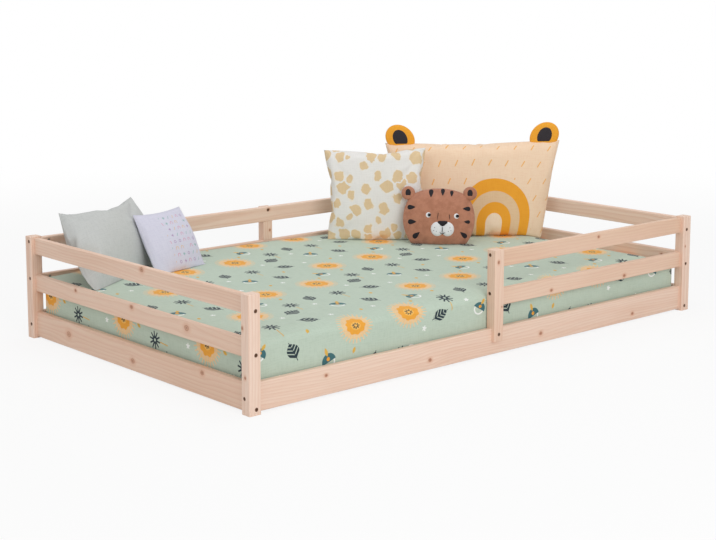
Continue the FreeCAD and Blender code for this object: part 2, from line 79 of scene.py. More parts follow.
def srgb(red: int, green: int, blue: int) -> Colour:
    """Turn a colour as it is seen on a screen into the linear colour that shaders take.

    Args:
        red, green, blue: the parts of the colour, from 0 to 255.

    Returns:
        The linear colour, opaque.
    """
    def linear(part: int) -> float:
        """One part of the colour."""
        share = part / 255
        return share / 12.92 if share <= 0.04045 else ((share + 0.055) / 1.055) ** 2.4

    return (linear(red), linear(green), linear(blue), 1.0)


# ------------------------------------------------------------------ patterns as formulas
def arithmetic(operation: str, flipped: bool = False) -> Callable[..., "Signal"]:
    """Make a method that does one step of arithmetic on a signal.

    Args:
        operation: the math node's operation.
        flipped: whether the other value comes first.

    Returns:
        The method. It takes the other value, where the operation has one.
    """
    def method(signal: "Signal", other: "Feed" = 0.0) -> "Signal":
        """Add the math node."""
        return signal.graph.math(operation, *((other, signal) if flipped else (signal, other)))

    return method


class Signal:
    """A value in a node tree that can be used in arithmetic, so a pattern reads as its formula."""

    def __init__(self, graph: "Graph", socket: bpy.types.NodeSocket) -> None:
        """Keep the tree that the value belongs to and the socket that gives it."""
        self.graph = graph
        self.socket = socket

    __add__, __radd__ = arithmetic("ADD"), arithmetic("ADD", flipped=True)
    __sub__, __rsub__ = arithmetic("SUBTRACT"), arithmetic("SUBTRACT", flipped=True)
    __mul__, __rmul__ = arithmetic("MULTIPLY"), arithmetic("MULTIPLY", flipped=True)
    __truediv__, __rtruediv__ = arithmetic("DIVIDE"), arithmetic("DIVIDE", flipped=True)
    sin, cos, sqrt = arithmetic("SINE"), arithmetic("COSINE"), arithmetic("SQRT")
    abs, floor, fract = arithmetic("ABSOLUTE"), arithmetic("FLOOR"), arithmetic("FRACT")
    power, most = arithmetic("POWER"), arithmetic("MAXIMUM")

    def below(self, limit: "Feed", blur: float) -> "Signal":
        """A mask that is 1 under a limit and 0 over it.

        Args:
            limit: where the mask turns.
            blur: half the width over which it turns.

        Returns:
            The mask.
        """
        over = self - limit
        step = self.graph.node(
            "ShaderNodeMapRange",
            {"Value": over, "From Min": -blur, "From Max": blur, "To Min": 1.0, "To Max": 0.0},
            interpolation_type="SMOOTHSTEP",
        )
        return Signal(self.graph, step.outputs[0])

    def above(self, limit: "Feed", blur: float) -> "Signal":
        """A mask that is 1 over a limit and 0 under it."""
        return 1.0 - self.below(limit, blur)


Feed = Union[float, Colour, Signal]
Point = tuple[Signal, Signal]


class Graph:
    """The node tree of a material or a world, built by short calls."""

    def __init__(self, name: str, library: str = "materials") -> None:
        """Start an empty material, or a world where the library says so."""
        self.owner = getattr(bpy.data, library).new(name)
        self.owner.use_nodes = True
        self.tree = self.owner.node_tree
        self.tree.nodes.clear()

    def node(self, kind: str, feeds: dict[Union[int, str], Feed],
             **settings: object) -> bpy.types.Node:
        """Add a node.

        Args:
            kind: the node's type.
            feeds: a value or a signal for each input that is set.
            settings: the node's own settings.

        Returns:
            The node.
        """
        made = self.tree.nodes.new(kind)
        for key, value in settings.items():
            setattr(made, key, value)
        for key, value in feeds.items():
            if isinstance(value, Signal):
                self.tree.links.new(value.socket, made.inputs[key])
            else:
                made.inputs[key].default_value = value
        return made

    def math(self, operation: str, first: Feed, second: Feed = 0.0) -> Signal:
        """One step of arithmetic."""
        made = self.node("ShaderNodeMath", {0: first, 1: second}, operation=operation)
        return Signal(self, made.outputs[0])

    def seen(self) -> Signal:
        """1 for rays of the camera, of gloss and through glass, and 0 for all others."""
        ray = self.node("ShaderNodeLightPath", {})
        camera, glossy, through = (Signal(self, ray.outputs[f"Is {kind} Ray"])
                                   for kind in ("Camera", "Glossy", "Transmission"))
        return camera.most(glossy).most(through)

    def split(self, vector: bpy.types.NodeSocket) -> tuple[Signal, Signal, Signal]:
        """The three parts of a vector."""
        made = self.node("ShaderNodeSeparateXYZ", {0: Signal(self, vector)})
        return tuple(Signal(self, made.outputs[i]) for i in range(3))

    def place(self) -> tuple[Signal, Signal, Signal]:
        """Where a point lies on the bed."""
        return self.split(self.node("ShaderNodeTexCoord", {}).outputs["Object"])

    def cover(self) -> Point:
        """Where a point lies on the flat cloth that a cover was cut from."""
        u, v, _ = self.split(self.node("ShaderNodeUVMap", {}, uv_map=COVER_MAP).outputs["UV"])
        return u, v

    def vector(self, x: Feed, y: Feed, z: Feed = 0.0) -> Signal:
        """A vector of three values."""
        return Signal(self, self.node("ShaderNodeCombineXYZ", {0: x, 1: y, 2: z}).outputs[0])

    def noise(self, x: Feed, y: Feed, z: Feed = 0.0, detail: float = 2.0) -> Signal:
        """Smooth noise from 0 to 1, one cell to a unit."""
        made = self.node("ShaderNodeTexNoise", {"Vector": self.vector(x, y, z), "Scale": 1.0,
                                                "Detail": detail, "Roughness": 0.55})
        return Signal(self, made.outputs["Fac"])

    def mix(self, mask: Feed, under: Feed, over: Feed, blend: str = "MIX") -> Signal:
        """Lay one colour over another through a mask."""
        made = self.node("ShaderNodeMix", {0: mask, 6: under, 7: over}, data_type="RGBA",
                         blend_type=blend)
        return Signal(self, made.outputs[2])

    def layers(self, colour: Feed, *layers: tuple[Feed, Feed]) -> Feed:
        """Lay colours over one another, each through the mask before it."""
        for mask, tone in layers:
            colour = self.mix(mask, colour, tone)
        return colour

    def finish(
        self,
        colour: Feed,
        roughness: Feed,
        height: Signal,
        depth: float,
        **constants: float,
    ) -> bpy.types.Material:
        """Join the shader to the output.

        Args:
            colour: the surface's colour.
            roughness: how dull it is.
            height: its relief, from 0 to 1.
            depth: the relief's depth in metres.
            constants: other sockets of the shader, with spaces written as underscores.

        Returns:
            The finished material.
        """
        bump = self.node("ShaderNodeBump", {"Height": height, "Distance": depth, "Strength": 1.0})
        feeds: dict[Union[int, str], Feed] = {
            "Base Color": colour,
            "Roughness": roughness,
            "Normal": Signal(self, bump.outputs[0]),
        }
        feeds.update({key.replace("_", " "): value for key, value in constants.items()})
        shader = self.node("ShaderNodeBsdfPrincipled", feeds)
        self.node("ShaderNodeOutputMaterial", {"Surface": Signal(self, shader.outputs[0])})
        return self.owner


def direction(degrees: float) -> Flat:
    """The cosine and the sine of an angle."""
    return math.cos(math.radians(degrees)), math.sin(math.radians(degrees))


def turned(point: Point, centre: Flat, degrees: float) -> Point:
    """A point as seen from a motif's own middle and angle."""
    cosine, sine = direction(degrees)
    x, y = point[0] - centre[0], point[1] - centre[1]
    return x * cosine + y * sine, y * cosine - x * sine


def length_of(x: Signal, y: Signal) -> Signal:
    """The length of two steps at a right angle."""
    return (x * x + y * y).sqrt()


def radius_of(point: Point) -> Signal:
    """Distance from a motif's middle."""
    return length_of(*point)


def angle_of(point: Point) -> Signal:
    """Angle round a motif's middle, in radians."""
    return point[0].graph.math("ARCTAN2", point[1], point[0])


# ------------------------------------------------------------------------------- finishes
@dataclass(frozen=True)
class Knot:
    """A knot on a board's face: where it lies along and across the grain, and its radius."""

    along: float
    across: float
    radius: float


@dataclass(frozen=True)
class Pine:
    """Pale lacquered pine, with its rings, fibres and knots."""

    name: str
    grain: Axis
    face: Axis
    seed: float
    middle: Vector
    knots: tuple[Knot, ...] = ()
    early: Colour = srgb(238, 212, 195)
    late: Colour = srgb(210, 160, 130)
    deep: Colour = srgb(221, 183, 151)
    tint: float = 0.35
    ring: float = 0.0095

    def build(self) -> bpy.types.Material:
        """Make the material.

        Returns:
            Pine whose grain runs along one axis and bends round each knot.
        """
        graph = Graph(self.name)
        place = graph.place()
        across_axis = next(a for a in Axis if a not in (self.grain, self.face))
        along, across, deep = (place[a.value] for a in (self.grain, across_axis, self.face))
        run = along + self.seed * 3.7
        wander = (graph.noise(run * 1.2, across * 4.0 + self.seed, deep * 4.0) - 0.5) * 0.075
        ripple = (graph.noise(run * 6.0, across * 14.0, deep * 14.0) - 0.5) * 0.0035
        bent = across + wander + ripple
        bend_long, bend_wide, bend_share = 3.2, 2.2, 0.8
        for knot in self.knots:
            x = (along - knot.along) / (knot.radius * bend_long)
            y = (across - knot.across) / (knot.radius * bend_wide)
            pull = 1.0 / (1.0 + (x * x + y * y) * 1.6)
            bent = bent - (across - knot.across) * pull * bend_share
        pith_across = 0.06 * math.sin(self.seed * 5.1)
        pith_deep = 0.042 + 0.018 * math.sin(self.seed * 2.3)
        x = bent - (self.middle[across_axis.value] + pith_across)
        y = deep - (self.middle[self.face.value] - pith_deep)
        uneven = graph.noise(across * 26.0 + self.seed, deep * 26.0, run * 0.6) * 1.6
        rings = (length_of(x, y) / self.ring + uneven).fract()
        latewood = rings.power(2.4) * rings.below(0.9, 0.1)
        streak = graph.noise(run * 2.2, across * 70.0, deep * 70.0)
        fibre = graph.noise(run * 16.0, across * 620.0, deep * 620.0)
        cloud = graph.noise(run * 1.7, across * 7.0, deep * 7.0)
        colour = graph.layers(
            self.early,
            (self.tint, self.deep),
            (latewood * 0.72, self.late),
            (streak.above(0.55, 0.2) * 0.45, srgb(222, 178, 152)),
            (cloud.above(0.5, 0.25) * 0.35, srgb(243, 217, 198)),
            (fibre.above(0.62, 0.12) * 0.22, srgb(206, 166, 138)),
        )
        for knot in self.knots:
            colour = self.draw_knot(graph, colour, along, across, knot)
        roughness = 0.42 + fibre * 0.16
        relief = fibre * 0.6 + latewood * 0.4
        return graph.finish(colour, roughness, relief, 0.00012, Specular_IOR_Level=0.42)

    def draw_knot(self, graph: Graph, colour: Signal, along: Signal, across: Signal,
                  knot: Knot) -> Signal:
        """Lay one knot over the wood: a halo, a brown body, a dark rim and a darker heart.

        A wide knot is paler than a small one.

        Args:
            graph: the wood's tree.
            colour: the wood's colour so far.
            along, across: the place on the board, along and across the grain.
            knot: the knot.

        Returns:
            The colour with the knot.
        """
        x = (along - knot.along) / knot.radius
        y = (across - knot.across) / (knot.radius * 0.8)
        wobble = (graph.noise(along * 160.0, across * 160.0, self.seed) - 0.5) * 0.5
        reach = length_of(x, y) + wobble
        full_colour_radius = 0.0075
        strength = 0.85 * min(1.0, (full_colour_radius / knot.radius) ** 1.5)
        return graph.layers(
            colour,
            (reach.below(1.7, 0.95) * 0.5, srgb(212, 156, 122)),
            (reach.below(0.9, 0.24) * strength, srgb(186, 128, 98)),
            (reach.below(0.98, 0.14) * reach.above(0.74, 0.14) * 0.5, srgb(146, 90, 66)),
            (reach.below(0.34, 0.26) * strength, srgb(112, 66, 48)),
        )


def woven(x: Signal, y: Signal, pitch: float) -> Signal:
    """The relief of a plain weave, from 0 to 1."""
    turn = 2 * math.pi / pitch
    return (x * turn).sin() * (y * turn).sin() * 0.5 + 0.5


@dataclass(frozen=True)
class Metal:
    """A plated or bronzed steel with fine grit and small stains."""

    name: str
    colour: Colour
    stain: Colour
    roughness: float

    def build(self) -> bpy.types.Material:
        """Make the material."""
        graph = Graph(self.name)
        x, y, z = graph.place()
        grit, patch = (graph.noise(x * fine, y * fine, z * fine) for fine in (900.0, 160.0))
        colour = graph.mix(patch.above(0.52, 0.15) * 0.6, self.colour, self.stain)
        return graph.finish(colour, self.roughness + grit * 0.18, grit, 0.00004, Metallic=0.9)


@dataclass(frozen=True)
class Webbing:
    """Flat woven tape."""

    name: str = "woven tape"
    colour: Colour = srgb(228, 224, 212)
    pitch: float = 0.0016

    def build(self) -> bpy.types.Material:
        """Make the material."""
        graph = Graph(self.name)
        x, y, _ = graph.place()
        weave = woven(x, y, self.pitch)
        colour = graph.mix(weave.above(0.5, 0.3) * 0.35, self.colour, srgb(190, 186, 172))
        return graph.finish(colour, 0.85 + weave * 0.1, weave, 0.0003, Sheen_Weight=0.3)


class Motif:
    """Small printed shapes, each a mask of 1 inside and 0 outside, in metres on the cloth."""

    EDGE = 0.0006

    @classmethod
    def disc(cls, point: Point, radius: float) -> Signal:
        """A round spot."""
        return radius_of(point).below(radius, cls.EDGE)

    @classmethod
    def rosette(cls, point: Point, radius: float, petals: int, wave: float) -> Signal:
        """A disc with a scalloped rim."""
        rim = (angle_of(point) * float(petals)).cos() * (radius * wave) + radius
        return radius_of(point).below(rim, cls.EDGE)

    @classmethod
    def rays(cls, point: Point, inner: float, outer: float, count: int, width: float) -> Signal:
        """Straight strokes that stand round a middle."""
        reach = radius_of(point)
        off = (angle_of(point) * (count / 2)).sin().abs() * reach * (2 / count)
        band = reach.above(inner, cls.EDGE) * reach.below(outer, cls.EDGE)
        return off.below(width / 2, cls.EDGE) * band

    @classmethod
    def leaf(cls, point: Point, length: float, width: float) -> Signal:
        """A pointed leaf, its length along the motif's own x."""
        along = point[0] / (length / 2)
        half = (1.0 - along * along) * (width / 2)
        return (point[1].abs() - half).below(0.0, cls.EDGE)

    @classmethod
    def stroke(cls, point: Point, length: float, width: float) -> Signal:
        """A straight stroke."""
        inside = point[0].abs().below(length / 2, cls.EDGE)
        return inside * point[1].abs().below(width / 2, cls.EDGE)

    @classmethod
    def frond(cls, point: Point, length: float, width: float, pitch: float) -> Signal:
        """A stem with slanted leaflets on both sides."""
        reach = point[1].abs()
        slanted = ((point[0] - reach * 0.8) / pitch).fract() - 0.5
        along = point[0] / (length / 2)
        envelope = (1.0 - along * along) * (width / 2)
        leaflets = slanted.abs().below(0.37, 0.05) * (reach - envelope).below(0.0, cls.EDGE)
        stem = reach.below(0.0014, cls.EDGE) * along.abs().below(1.15, 0.01)
        return leaflets.most(stem)

    @classmethod
    def dome(cls, point: Point, radius: float) -> Signal:
        """The upper half of a disc."""
        return cls.disc(point, radius) * point[1].above(0.0, cls.EDGE)

    @staticmethod
    def arch_reach(point: Point) -> Signal:
        """Distance from the middle of an arch, and beside it from its upright axis."""
        return length_of(point[0], point[1].most(0.0))

    @classmethod
    def arch(cls, point: Point, radius: float, width: float, legs: float) -> Signal:
        """A half ring standing on two straight legs."""
        ring = (cls.arch_reach(point) - radius).abs().below(width / 2, cls.EDGE)
        return ring * point[1].above(-legs, cls.EDGE)


@dataclass(frozen=True)
class Cotton:
    """Matte woven cotton: a fine weave, slubs and a soft sheen over a ground or a print."""

    name: str
    ground: Colour
    slub: Colour
    draw: Callable[[Graph, Signal, Point], Signal] = lambda graph, colour, point: colour
    thread: float = 0.0011

    def build(self) -> bpy.types.Material:
        """Make the material.

        Returns:
            Cotton with its print, which follows the flat cloth.
        """
        graph = Graph(self.name)
        u, v = graph.cover()
        slub = graph.noise(u * 28.0, v * 240.0) * 0.5 + graph.noise(u * 240.0, v * 28.0) * 0.5
        fade = graph.noise(u * 5.0, v * 5.0)
        weave = woven(u, v, self.thread)
        ground = graph.mix(fade.above(0.5, 0.3) * 0.25, self.ground, self.slub)
        colour = self.draw(graph, ground, (u, v))
        colour = graph.mix(slub.above(0.53, 0.09) * 0.14, colour, self.slub, "MULTIPLY")
        relief = weave * 0.5 + slub * 0.5
        return graph.finish(colour, 0.86 + slub * 0.1, relief, 0.00016, Sheen_Weight=0.12,
                            Specular_IOR_Level=0.25)


@dataclass(frozen=True)
class Plush:
    """Short brushed pile, mottled with painted shade where it lies in different directions."""

    name: str
    colour: Colour
    shade: Colour

    def build(self) -> bpy.types.Material:
        """Make the material."""
        graph = Graph(self.name)
        x, y, z = graph.place()
        pile, swirl = (graph.noise(x * fine, y * fine, z * fine, 3.0) for fine in (950.0, 42.0))
        # painted shade: the swirls and the fine pile darken the colour towards the shade colour,
        # standing in for pile that catches less light
        colour = graph.mix(swirl.above(0.5, 0.22) * 0.55, self.colour, self.shade)
        colour = graph.mix(pile.above(0.56, 0.14) * 0.4, colour, self.shade)
        return graph.finish(colour, 0.95, pile * 0.7 + swirl * 0.3, 0.0012, Sheen_Weight=0.35,
                            Specular_IOR_Level=0.2)


@dataclass(frozen=True)
class Thread:
    """Twisted sewing thread or felt in one dyed colour, with its fibres."""

    name: str
    colour: Colour
    shade: Colour

    def build(self) -> bpy.types.Material:
        """Make the material."""
        graph = Graph(self.name)
        x, y, z = graph.place()
        hair = graph.noise(x * 1300.0, y * 1300.0, z * 1300.0, 3.0)
        colour = graph.mix(hair.above(0.5, 0.2) * 0.5, self.colour, self.shade)
        return graph.finish(colour, 0.9, hair, 0.0003, Specular_IOR_Level=0.2)


# ---------------------------------------------------------------------------- the prints
AMBER = srgb(240, 168, 62)
PEACH = srgb(243, 200, 146)
SLATE = srgb(44, 58, 66)
TEAL = srgb(66, 112, 118)
MUSTARD = srgb(222, 178, 84)
WHITE = srgb(240, 243, 240)
ARCHES = (((0.085, -0.115), 1.0), ((-0.205, -0.135), 0.62))
ARCH_BANDS = ((0.168, srgb(243, 216, 188)), (0.155, srgb(240, 166, 52)),
              (0.112, srgb(228, 196, 158)), (0.074, srgb(240, 166, 52)),
              (0.036, srgb(246, 222, 196)))
TILE = 0.46
ROSETTES = (((0.095, 0.100), 0.040, 12), ((0.325, 0.315), 0.038, 40))
FRONDS = (((0.225, 0.055), 25, 0.068), ((0.075, 0.265), 118, 0.066),
          ((0.395, 0.175), 70, 0.062), ((0.20, 0.405), -28, 0.066))
SHELLS = (((0.215, 0.205), 20), ((0.405, 0.045), -35))
BURSTS = ((0.055, 0.405), (0.285, 0.135))
DROPS = ((0.16, 0.165), (0.42, 0.41), (0.14, 0.335), (0.315, 0.225))
STARS = ((0.30, 0.415), (0.155, 0.015), (0.355, 0.10), (0.02, 0.19))


def sheet_print(graph: Graph, ground: Signal, point: Point) -> Signal:
    """Scatter rosettes, fronds, domed shells, bursts, drops and stars over the sheet.

    The motifs fill a square tile, and each column of tiles stands half a tile higher.

    Args:
        graph: the cotton's tree.
        ground: the cloth's colour.
        point: the place on the flat cloth.

    Returns:
        The cloth's colour with the print.
    """
    column = (point[0] / TILE).floor()
    lift = (column * 0.5).fract()
    x = point[0] - column * TILE
    raised = point[1] / TILE + lift
    y = raised.fract() * TILE
    spot = (x, y)
    colour = ground
    for centre, size, angle in ROSETTES:
        here = turned(spot, centre, angle)
        colour = graph.layers(
            colour,
            (Motif.rosette(here, size * 1.45, 14, 0.04) * 0.75, PEACH),
            (Motif.rays(here, size, size * 1.85, 28, 0.0042) * 0.85, PEACH),
            (Motif.rosette(here, size, 9, 0.06), AMBER),
            (Motif.disc(here, size * 0.5), srgb(247, 192, 98)),
            (Motif.rays(here, size * 0.16, size * 0.4, 8, 0.004), SLATE),
        )
    for centre, angle, length in FRONDS:
        here = turned(spot, centre, angle)
        colour = graph.mix(Motif.frond(here, length, length * 0.72, 0.0155), colour, SLATE)
    for centre, angle in SHELLS:
        here = turned(spot, centre, angle)
        colour = graph.layers(
            colour,
            (Motif.dome(here, 0.028), TEAL),
            (Motif.arch(turned(here, (0.0, 0.0), 180), 0.021, 0.006, 0.0), WHITE),
            (Motif.leaf(turned(here, (0.0, 0.034), 90), 0.03, 0.012), MUSTARD),
            (Motif.disc(turned(here, (0.0, 0.010), 0), 0.0065), AMBER),
        )
    for centre in BURSTS:
        here = turned(spot, centre, 8)
        colour = graph.mix(Motif.rays(here, 0.005, 0.029, 10, 0.0052), colour, SLATE)
        stalk = turned(spot, (centre[0] - 0.004, centre[1] - 0.050), 84)
        colour = graph.mix(Motif.stroke(stalk, 0.042, 0.0036), colour, MUSTARD)
    for centre in DROPS:
        colour = graph.mix(Motif.leaf(turned(spot, centre, 65), 0.022, 0.012), colour, MUSTARD)
    for centre in STARS:
        colour = graph.mix(Motif.rosette(turned(spot, centre, 0), 0.0075, 5, 0.38), colour, WHITE)
    return colour


def spotted_print(graph: Graph, ground: Signal, point: Point) -> Signal:
    """Irregular tan blotches of many sizes, each with a paler rim.

    Args:
        graph: the cotton's tree.
        ground: the cloth's colour.
        point: the place on the flat cloth.

    Returns:
        The cloth's colour with the print.
    """
    blotches_per_metre, waves_per_metre, wave_depth = 18.0, 30.0, 0.034
    u, v = point[0] * waves_per_metre, point[1] * waves_per_metre
    wave_u = (graph.noise(u, v) - 0.5) * wave_depth
    wave_v = (graph.noise(u + 9.0, v) - 0.5) * wave_depth
    feeds = {"Vector": graph.vector(point[0] + wave_u, (point[1] + wave_v) * 0.9),
             "Scale": blotches_per_metre, "Randomness": 0.85}
    cells = graph.node("ShaderNodeTexVoronoi", feeds, voronoi_dimensions="2D")
    borders = graph.node("ShaderNodeTexVoronoi", feeds, voronoi_dimensions="2D",
                         feature="DISTANCE_TO_EDGE")
    reach = Signal(graph, cells.outputs["Distance"])
    apart = Signal(graph, borders.outputs["Distance"]).above(0.05, 0.02)
    chance, _, _ = graph.split(cells.outputs["Color"])
    size = chance * 0.3 + 0.17
    colour = graph.mix(reach.below(size + 0.05, 0.03) * apart * 0.5, ground, srgb(242, 230, 210))
    return graph.mix(reach.below(size, 0.02) * apart, colour, srgb(226, 200, 160))


def marked_print(graph: Graph, ground: Signal, point: Point) -> Signal:
    """Rows of small marks: rings, arches, strokes and dots, each in one of a few soft colours.

    Args:
        graph: the cotton's tree.
        ground: the cloth's colour.
        point: the place on the flat cloth.

    Returns:
        The cloth's colour with the print.
    """
    pitch, crisp = 0.024, 0.001
    cell_u, cell_v = (point[0] / pitch).floor(), (point[1] / pitch).floor()
    x = point[0] - (cell_u + 0.5) * pitch
    y = point[1] - (cell_v + 0.5) * pitch
    dice = graph.node("ShaderNodeTexWhiteNoise", {"Vector": graph.vector(cell_u, cell_v, 3.0)},
                      noise_dimensions="3D")
    kind = Signal(graph, dice.outputs["Value"])
    hue, shown, _ = graph.split(dice.outputs["Color"])
    here = (x, y)
    arches_to, strokes_to, dots_to = 0.34, 0.6, 0.82
    mark = Motif.arch(here, 0.0052, 0.0024, 0.005) * kind.below(arches_to, crisp)
    mark = mark.most(Motif.stroke(turned(here, (0.0, 0.0), 60), 0.013, 0.0026)
                     * kind.above(arches_to, crisp) * kind.below(strokes_to, crisp))
    mark = mark.most(Motif.rosette(here, 0.0042, 4, 0.35)
                     * kind.above(strokes_to, crisp) * kind.below(dots_to, crisp))
    mark = mark.most((radius_of(here) - 0.0044).abs().below(0.0012, 0.0005)
                     * kind.above(dots_to, crisp))
    tone = graph.layers(
        srgb(214, 120, 160),
        (hue.above(0.25, crisp), srgb(226, 178, 96)),
        (hue.above(0.5, crisp), srgb(120, 176, 170)),
        (hue.above(0.75, crisp), srgb(168, 128, 178)),
    )
    panel = point[0].above(-0.035, crisp) * point[0].below(0.1, crisp)
    panel = panel * point[1].abs().below(0.1, crisp) * shown.above(0.08, crisp)
    return graph.mix(mark * panel * 0.7, ground, tone)


def arches_print(graph: Graph, ground: Signal, point: Point) -> Signal:
    """Nested amber and tan arches on a peach ground, with dashes scattered between them.

    Args:
        graph: the cotton's tree.
        ground: the cloth's colour.
        point: the place on the flat cloth.

    Returns:
        The cloth's colour with the print.
    """
    pitch = 0.062
    row = (point[1] / pitch).floor()
    shifted = point[0] / pitch + (row * 0.5).fract()
    here = ((shifted.fract() - 0.5) * pitch, (point[1] / pitch - row - 0.5) * pitch)
    dash = Motif.stroke(turned(here, (0.0, 0.0), 62), 0.024, 0.0042)
    colour = graph.mix(dash * 0.9, ground, srgb(240, 178, 92))
    for centre, scale in ARCHES:
        reach = Motif.arch_reach(turned(point, centre, 0))
        for outer, tone in ARCH_BANDS:
            colour = graph.mix(reach.below(outer * scale, Motif.EDGE), colour, tone)
    return colour


# --------------------------------------------------------------------------- mesh helpers
def add_mesh(name: str, points: Sequence[Sequence[float]], faces: Sequence[Sequence[int]],
             material: bpy.types.Material, edges: Sequence[Sequence[int]] = ()) -> bpy.types.Object:
    """Make an object at the origin from points and faces.

    Args:
        name: the piece's name.
        points: its vertices in the bed's axes.
        faces: its faces, with their outsides counted anticlockwise.
        material: its finish.
        edges: loose edges, for a path.

    Returns:
        The new object, smooth shaded.
    """
    mesh = bpy.data.meshes.new(name)
    mesh.from_pydata([tuple(p) for p in points], edges, faces)
    mesh.polygons.foreach_set("use_smooth", [True] * len(mesh.polygons))
    mesh.materials.append(material)
    mesh.update()
    made = bpy.data.objects.new(name, mesh)
    bpy.context.scene.collection.objects.link(made)
    return made


def set_cover_map(piece: bpy.types.Object, places: Callable[[int, int], Flat]) -> None:
    """Write where each face corner lies on the flat cloth.

    Args:
        piece: the piece that gets the map.
        places: gives the place on the cloth from a face's number and a vertex's number.
    """
    layer = piece.data.uv_layers.new(name=COVER_MAP)
    for polygon in piece.data.polygons:
        for loop in polygon.loop_indices:
            layer.data[loop].uv = places(polygon.index, piece.data.loops[loop].vertex_index)


def subdivide(piece: bpy.types.Object, levels: int) -> None:
    """Smooth a piece, the same in every render."""
    surface = piece.modifiers.new("smooth", "SUBSURF")
    surface.levels = levels
    surface.render_levels = levels


@dataclass(frozen=True)
class DiscMesh:
    """A closed disc: a front and a back layer of rings, each round a middle point."""

    rings: int
    count: int
    shares_rim: bool = False

    def points(self, place: Callable[[int, float, float], Vector]) -> list[Vector]:
        """Place the points, layer by layer and ring by ring.

        Args:
            place: gives a point from its layer, which is 1 or -1, its share of the way from the
                middle to the rim, and its angle in radians.

        Returns:
            The points.
        """
        made: list[Vector] = []
        for layer in (1, -1):
            for ring in range(self.rings if self.shares_rim and layer < 0 else self.rings + 1):
                for step in range(self.count if ring else 1):
                    made.append(place(layer, ring / self.rings, 2 * math.pi * step / self.count))
        return made

    def at(self, layer: int, ring: int, step: int) -> int:
        """The number of a point, from its layer, ring and step."""
        layer = 0 if self.shares_rim and ring == self.rings else layer
        within = 1 + (ring - 1) * self.count + step % self.count if ring else 0
        return layer * (1 + self.rings * self.count) + within

    def faces(self, start: int = 0) -> list[list[int]]:
        """Join the points into faces.

        Args:
            start: the number of the disc's first point.

        Returns:
            The faces of both layers, and of the wall between two rims.
        """
        made: list[list[int]] = []
        for step in range(self.count):
            for layer in (0, 1):
                for ring in range(self.rings):
                    face = [self.at(layer, ring, step), self.at(layer, ring + 1, step),
                            self.at(layer, ring + 1, step + 1)]
                    if ring:
                        face.append(self.at(layer, ring, step + 1))
                    made.append(face[::-1] if layer else face)
            if not self.shares_rim:
                made.append([self.at(layer, self.rings, at_step) for layer, at_step in
                             ((0, step), (1, step), (1, step + 1), (0, step + 1))])
        return [[start + number for number in face] for face in made]


def crown(share: float, power: float) -> float:
    """The height of a dome at a share of its reach, from 1 at its middle to 0 at its rim."""
    return math.sqrt(max(0.0, 1 - share ** power))


def dress(node: str, material: bpy.types.Material) -> None:
    """Give a piece of the frame its finish."""
    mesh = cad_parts[node].data
    mesh.materials.clear()
    mesh.materials.append(material)


@cache
def box_of(node: str) -> tuple[Vector, Vector]:
    """The corners of the box round a piece of the frame."""
    low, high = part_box(node)
    return Vector(low), Vector(high)


def middle_of(node: str) -> Vector:
    """The middle of a piece of the frame."""
    low, high = box_of(node)
    return (low + high) / 2


class StitchRow:
    """A row of stitches along a path, made by Geometry Nodes."""

    ROD_SIDES = 6

    def __init__(self, pitch: float, length: float, radius: float) -> None:
        """Keep the row's sizes, in metres, and build its tree."""
        self.sizes = {"Pitch": pitch, "Length": length, "Radius": radius}
        self.tree = bpy.data.node_groups.new("stitch row", "GeometryNodeTree")
        self.lay_out()

    def lay_out(self) -> None:
        """Build the tree: a resampled path with a short rod along it at each point.

        The rods are real meshes in the end, so that nothing of the row is an instance.
        """
        face = self.tree.interface
        face.new_socket("Geometry", in_out="INPUT", socket_type="NodeSocketGeometry")
        for size, value in self.sizes.items():
            socket = face.new_socket(size, in_out="INPUT", socket_type="NodeSocketFloat")
            socket.default_value = value
        face.new_socket("Thread", in_out="INPUT", socket_type="NodeSocketMaterial")
        face.new_socket("Geometry", in_out="OUTPUT", socket_type="NodeSocketGeometry")
        nodes = self.tree.nodes
        source, sink = nodes.new("NodeGroupInput"), nodes.new("NodeGroupOutput")
        path = nodes.new("GeometryNodeMeshToCurve")
        even = nodes.new("GeometryNodeResampleCurve")
        even.mode = "LENGTH"
        rod = nodes.new("GeometryNodeMeshCylinder")
        rod.inputs["Vertices"].default_value = self.ROD_SIDES
        tangent = nodes.new("GeometryNodeInputTangent")
        aim = nodes.new("FunctionNodeAlignRotationToVector")
        spread = nodes.new("GeometryNodeInstanceOnPoints")
        real = nodes.new("GeometryNodeRealizeInstances")
        coat = nodes.new("GeometryNodeSetMaterial")
        for giver, given, taker, taken in (
                (source, "Geometry", path, "Mesh"), (path, "Curve", even, "Curve"),
                (source, "Pitch", even, "Length"), (source, "Radius", rod, "Radius"),
                (source, "Length", rod, "Depth"), (tangent, 0, aim, "Vector"),
                (even, "Curve", spread, "Points"), (rod, "Mesh", spread, "Instance"),
                (aim, "Rotation", spread, "Rotation"), (spread, "Instances", real, "Geometry"),
                (real, "Geometry", coat, "Geometry"), (source, "Thread", coat, "Material"),
                (coat, "Geometry", sink, "Geometry")):
            self.tree.links.new(giver.outputs[given], taker.inputs[taken])

    def sew(self, name: str, points: Sequence[Sequence[float]],
            thread: bpy.types.Material) -> bpy.types.Object:
        """Sew a row of stitches along a path that comes back to its start.

        Args:
            name: the new piece's name.
            points: the path.
            thread: the stitches' finish.

        Returns:
            The stitches as a plain mesh.
        """
        count = len(points)
        edges = [(i, (i + 1) % count) for i in range(count)]
        row = add_mesh(name, points, [], thread, edges)
        maker = row.modifiers.new("stitches", "NODES")
        maker.node_group = self.tree
        for item in self.tree.interface.items_tree:
            if item.in_out == "INPUT" and item.name == "Thread":
                maker[item.identifier] = thread
        done = bpy.data.meshes.new_from_object(
            row.evaluated_get(bpy.context.evaluated_depsgraph_get()))
        row.modifiers.clear()
        row.data = done
        return row


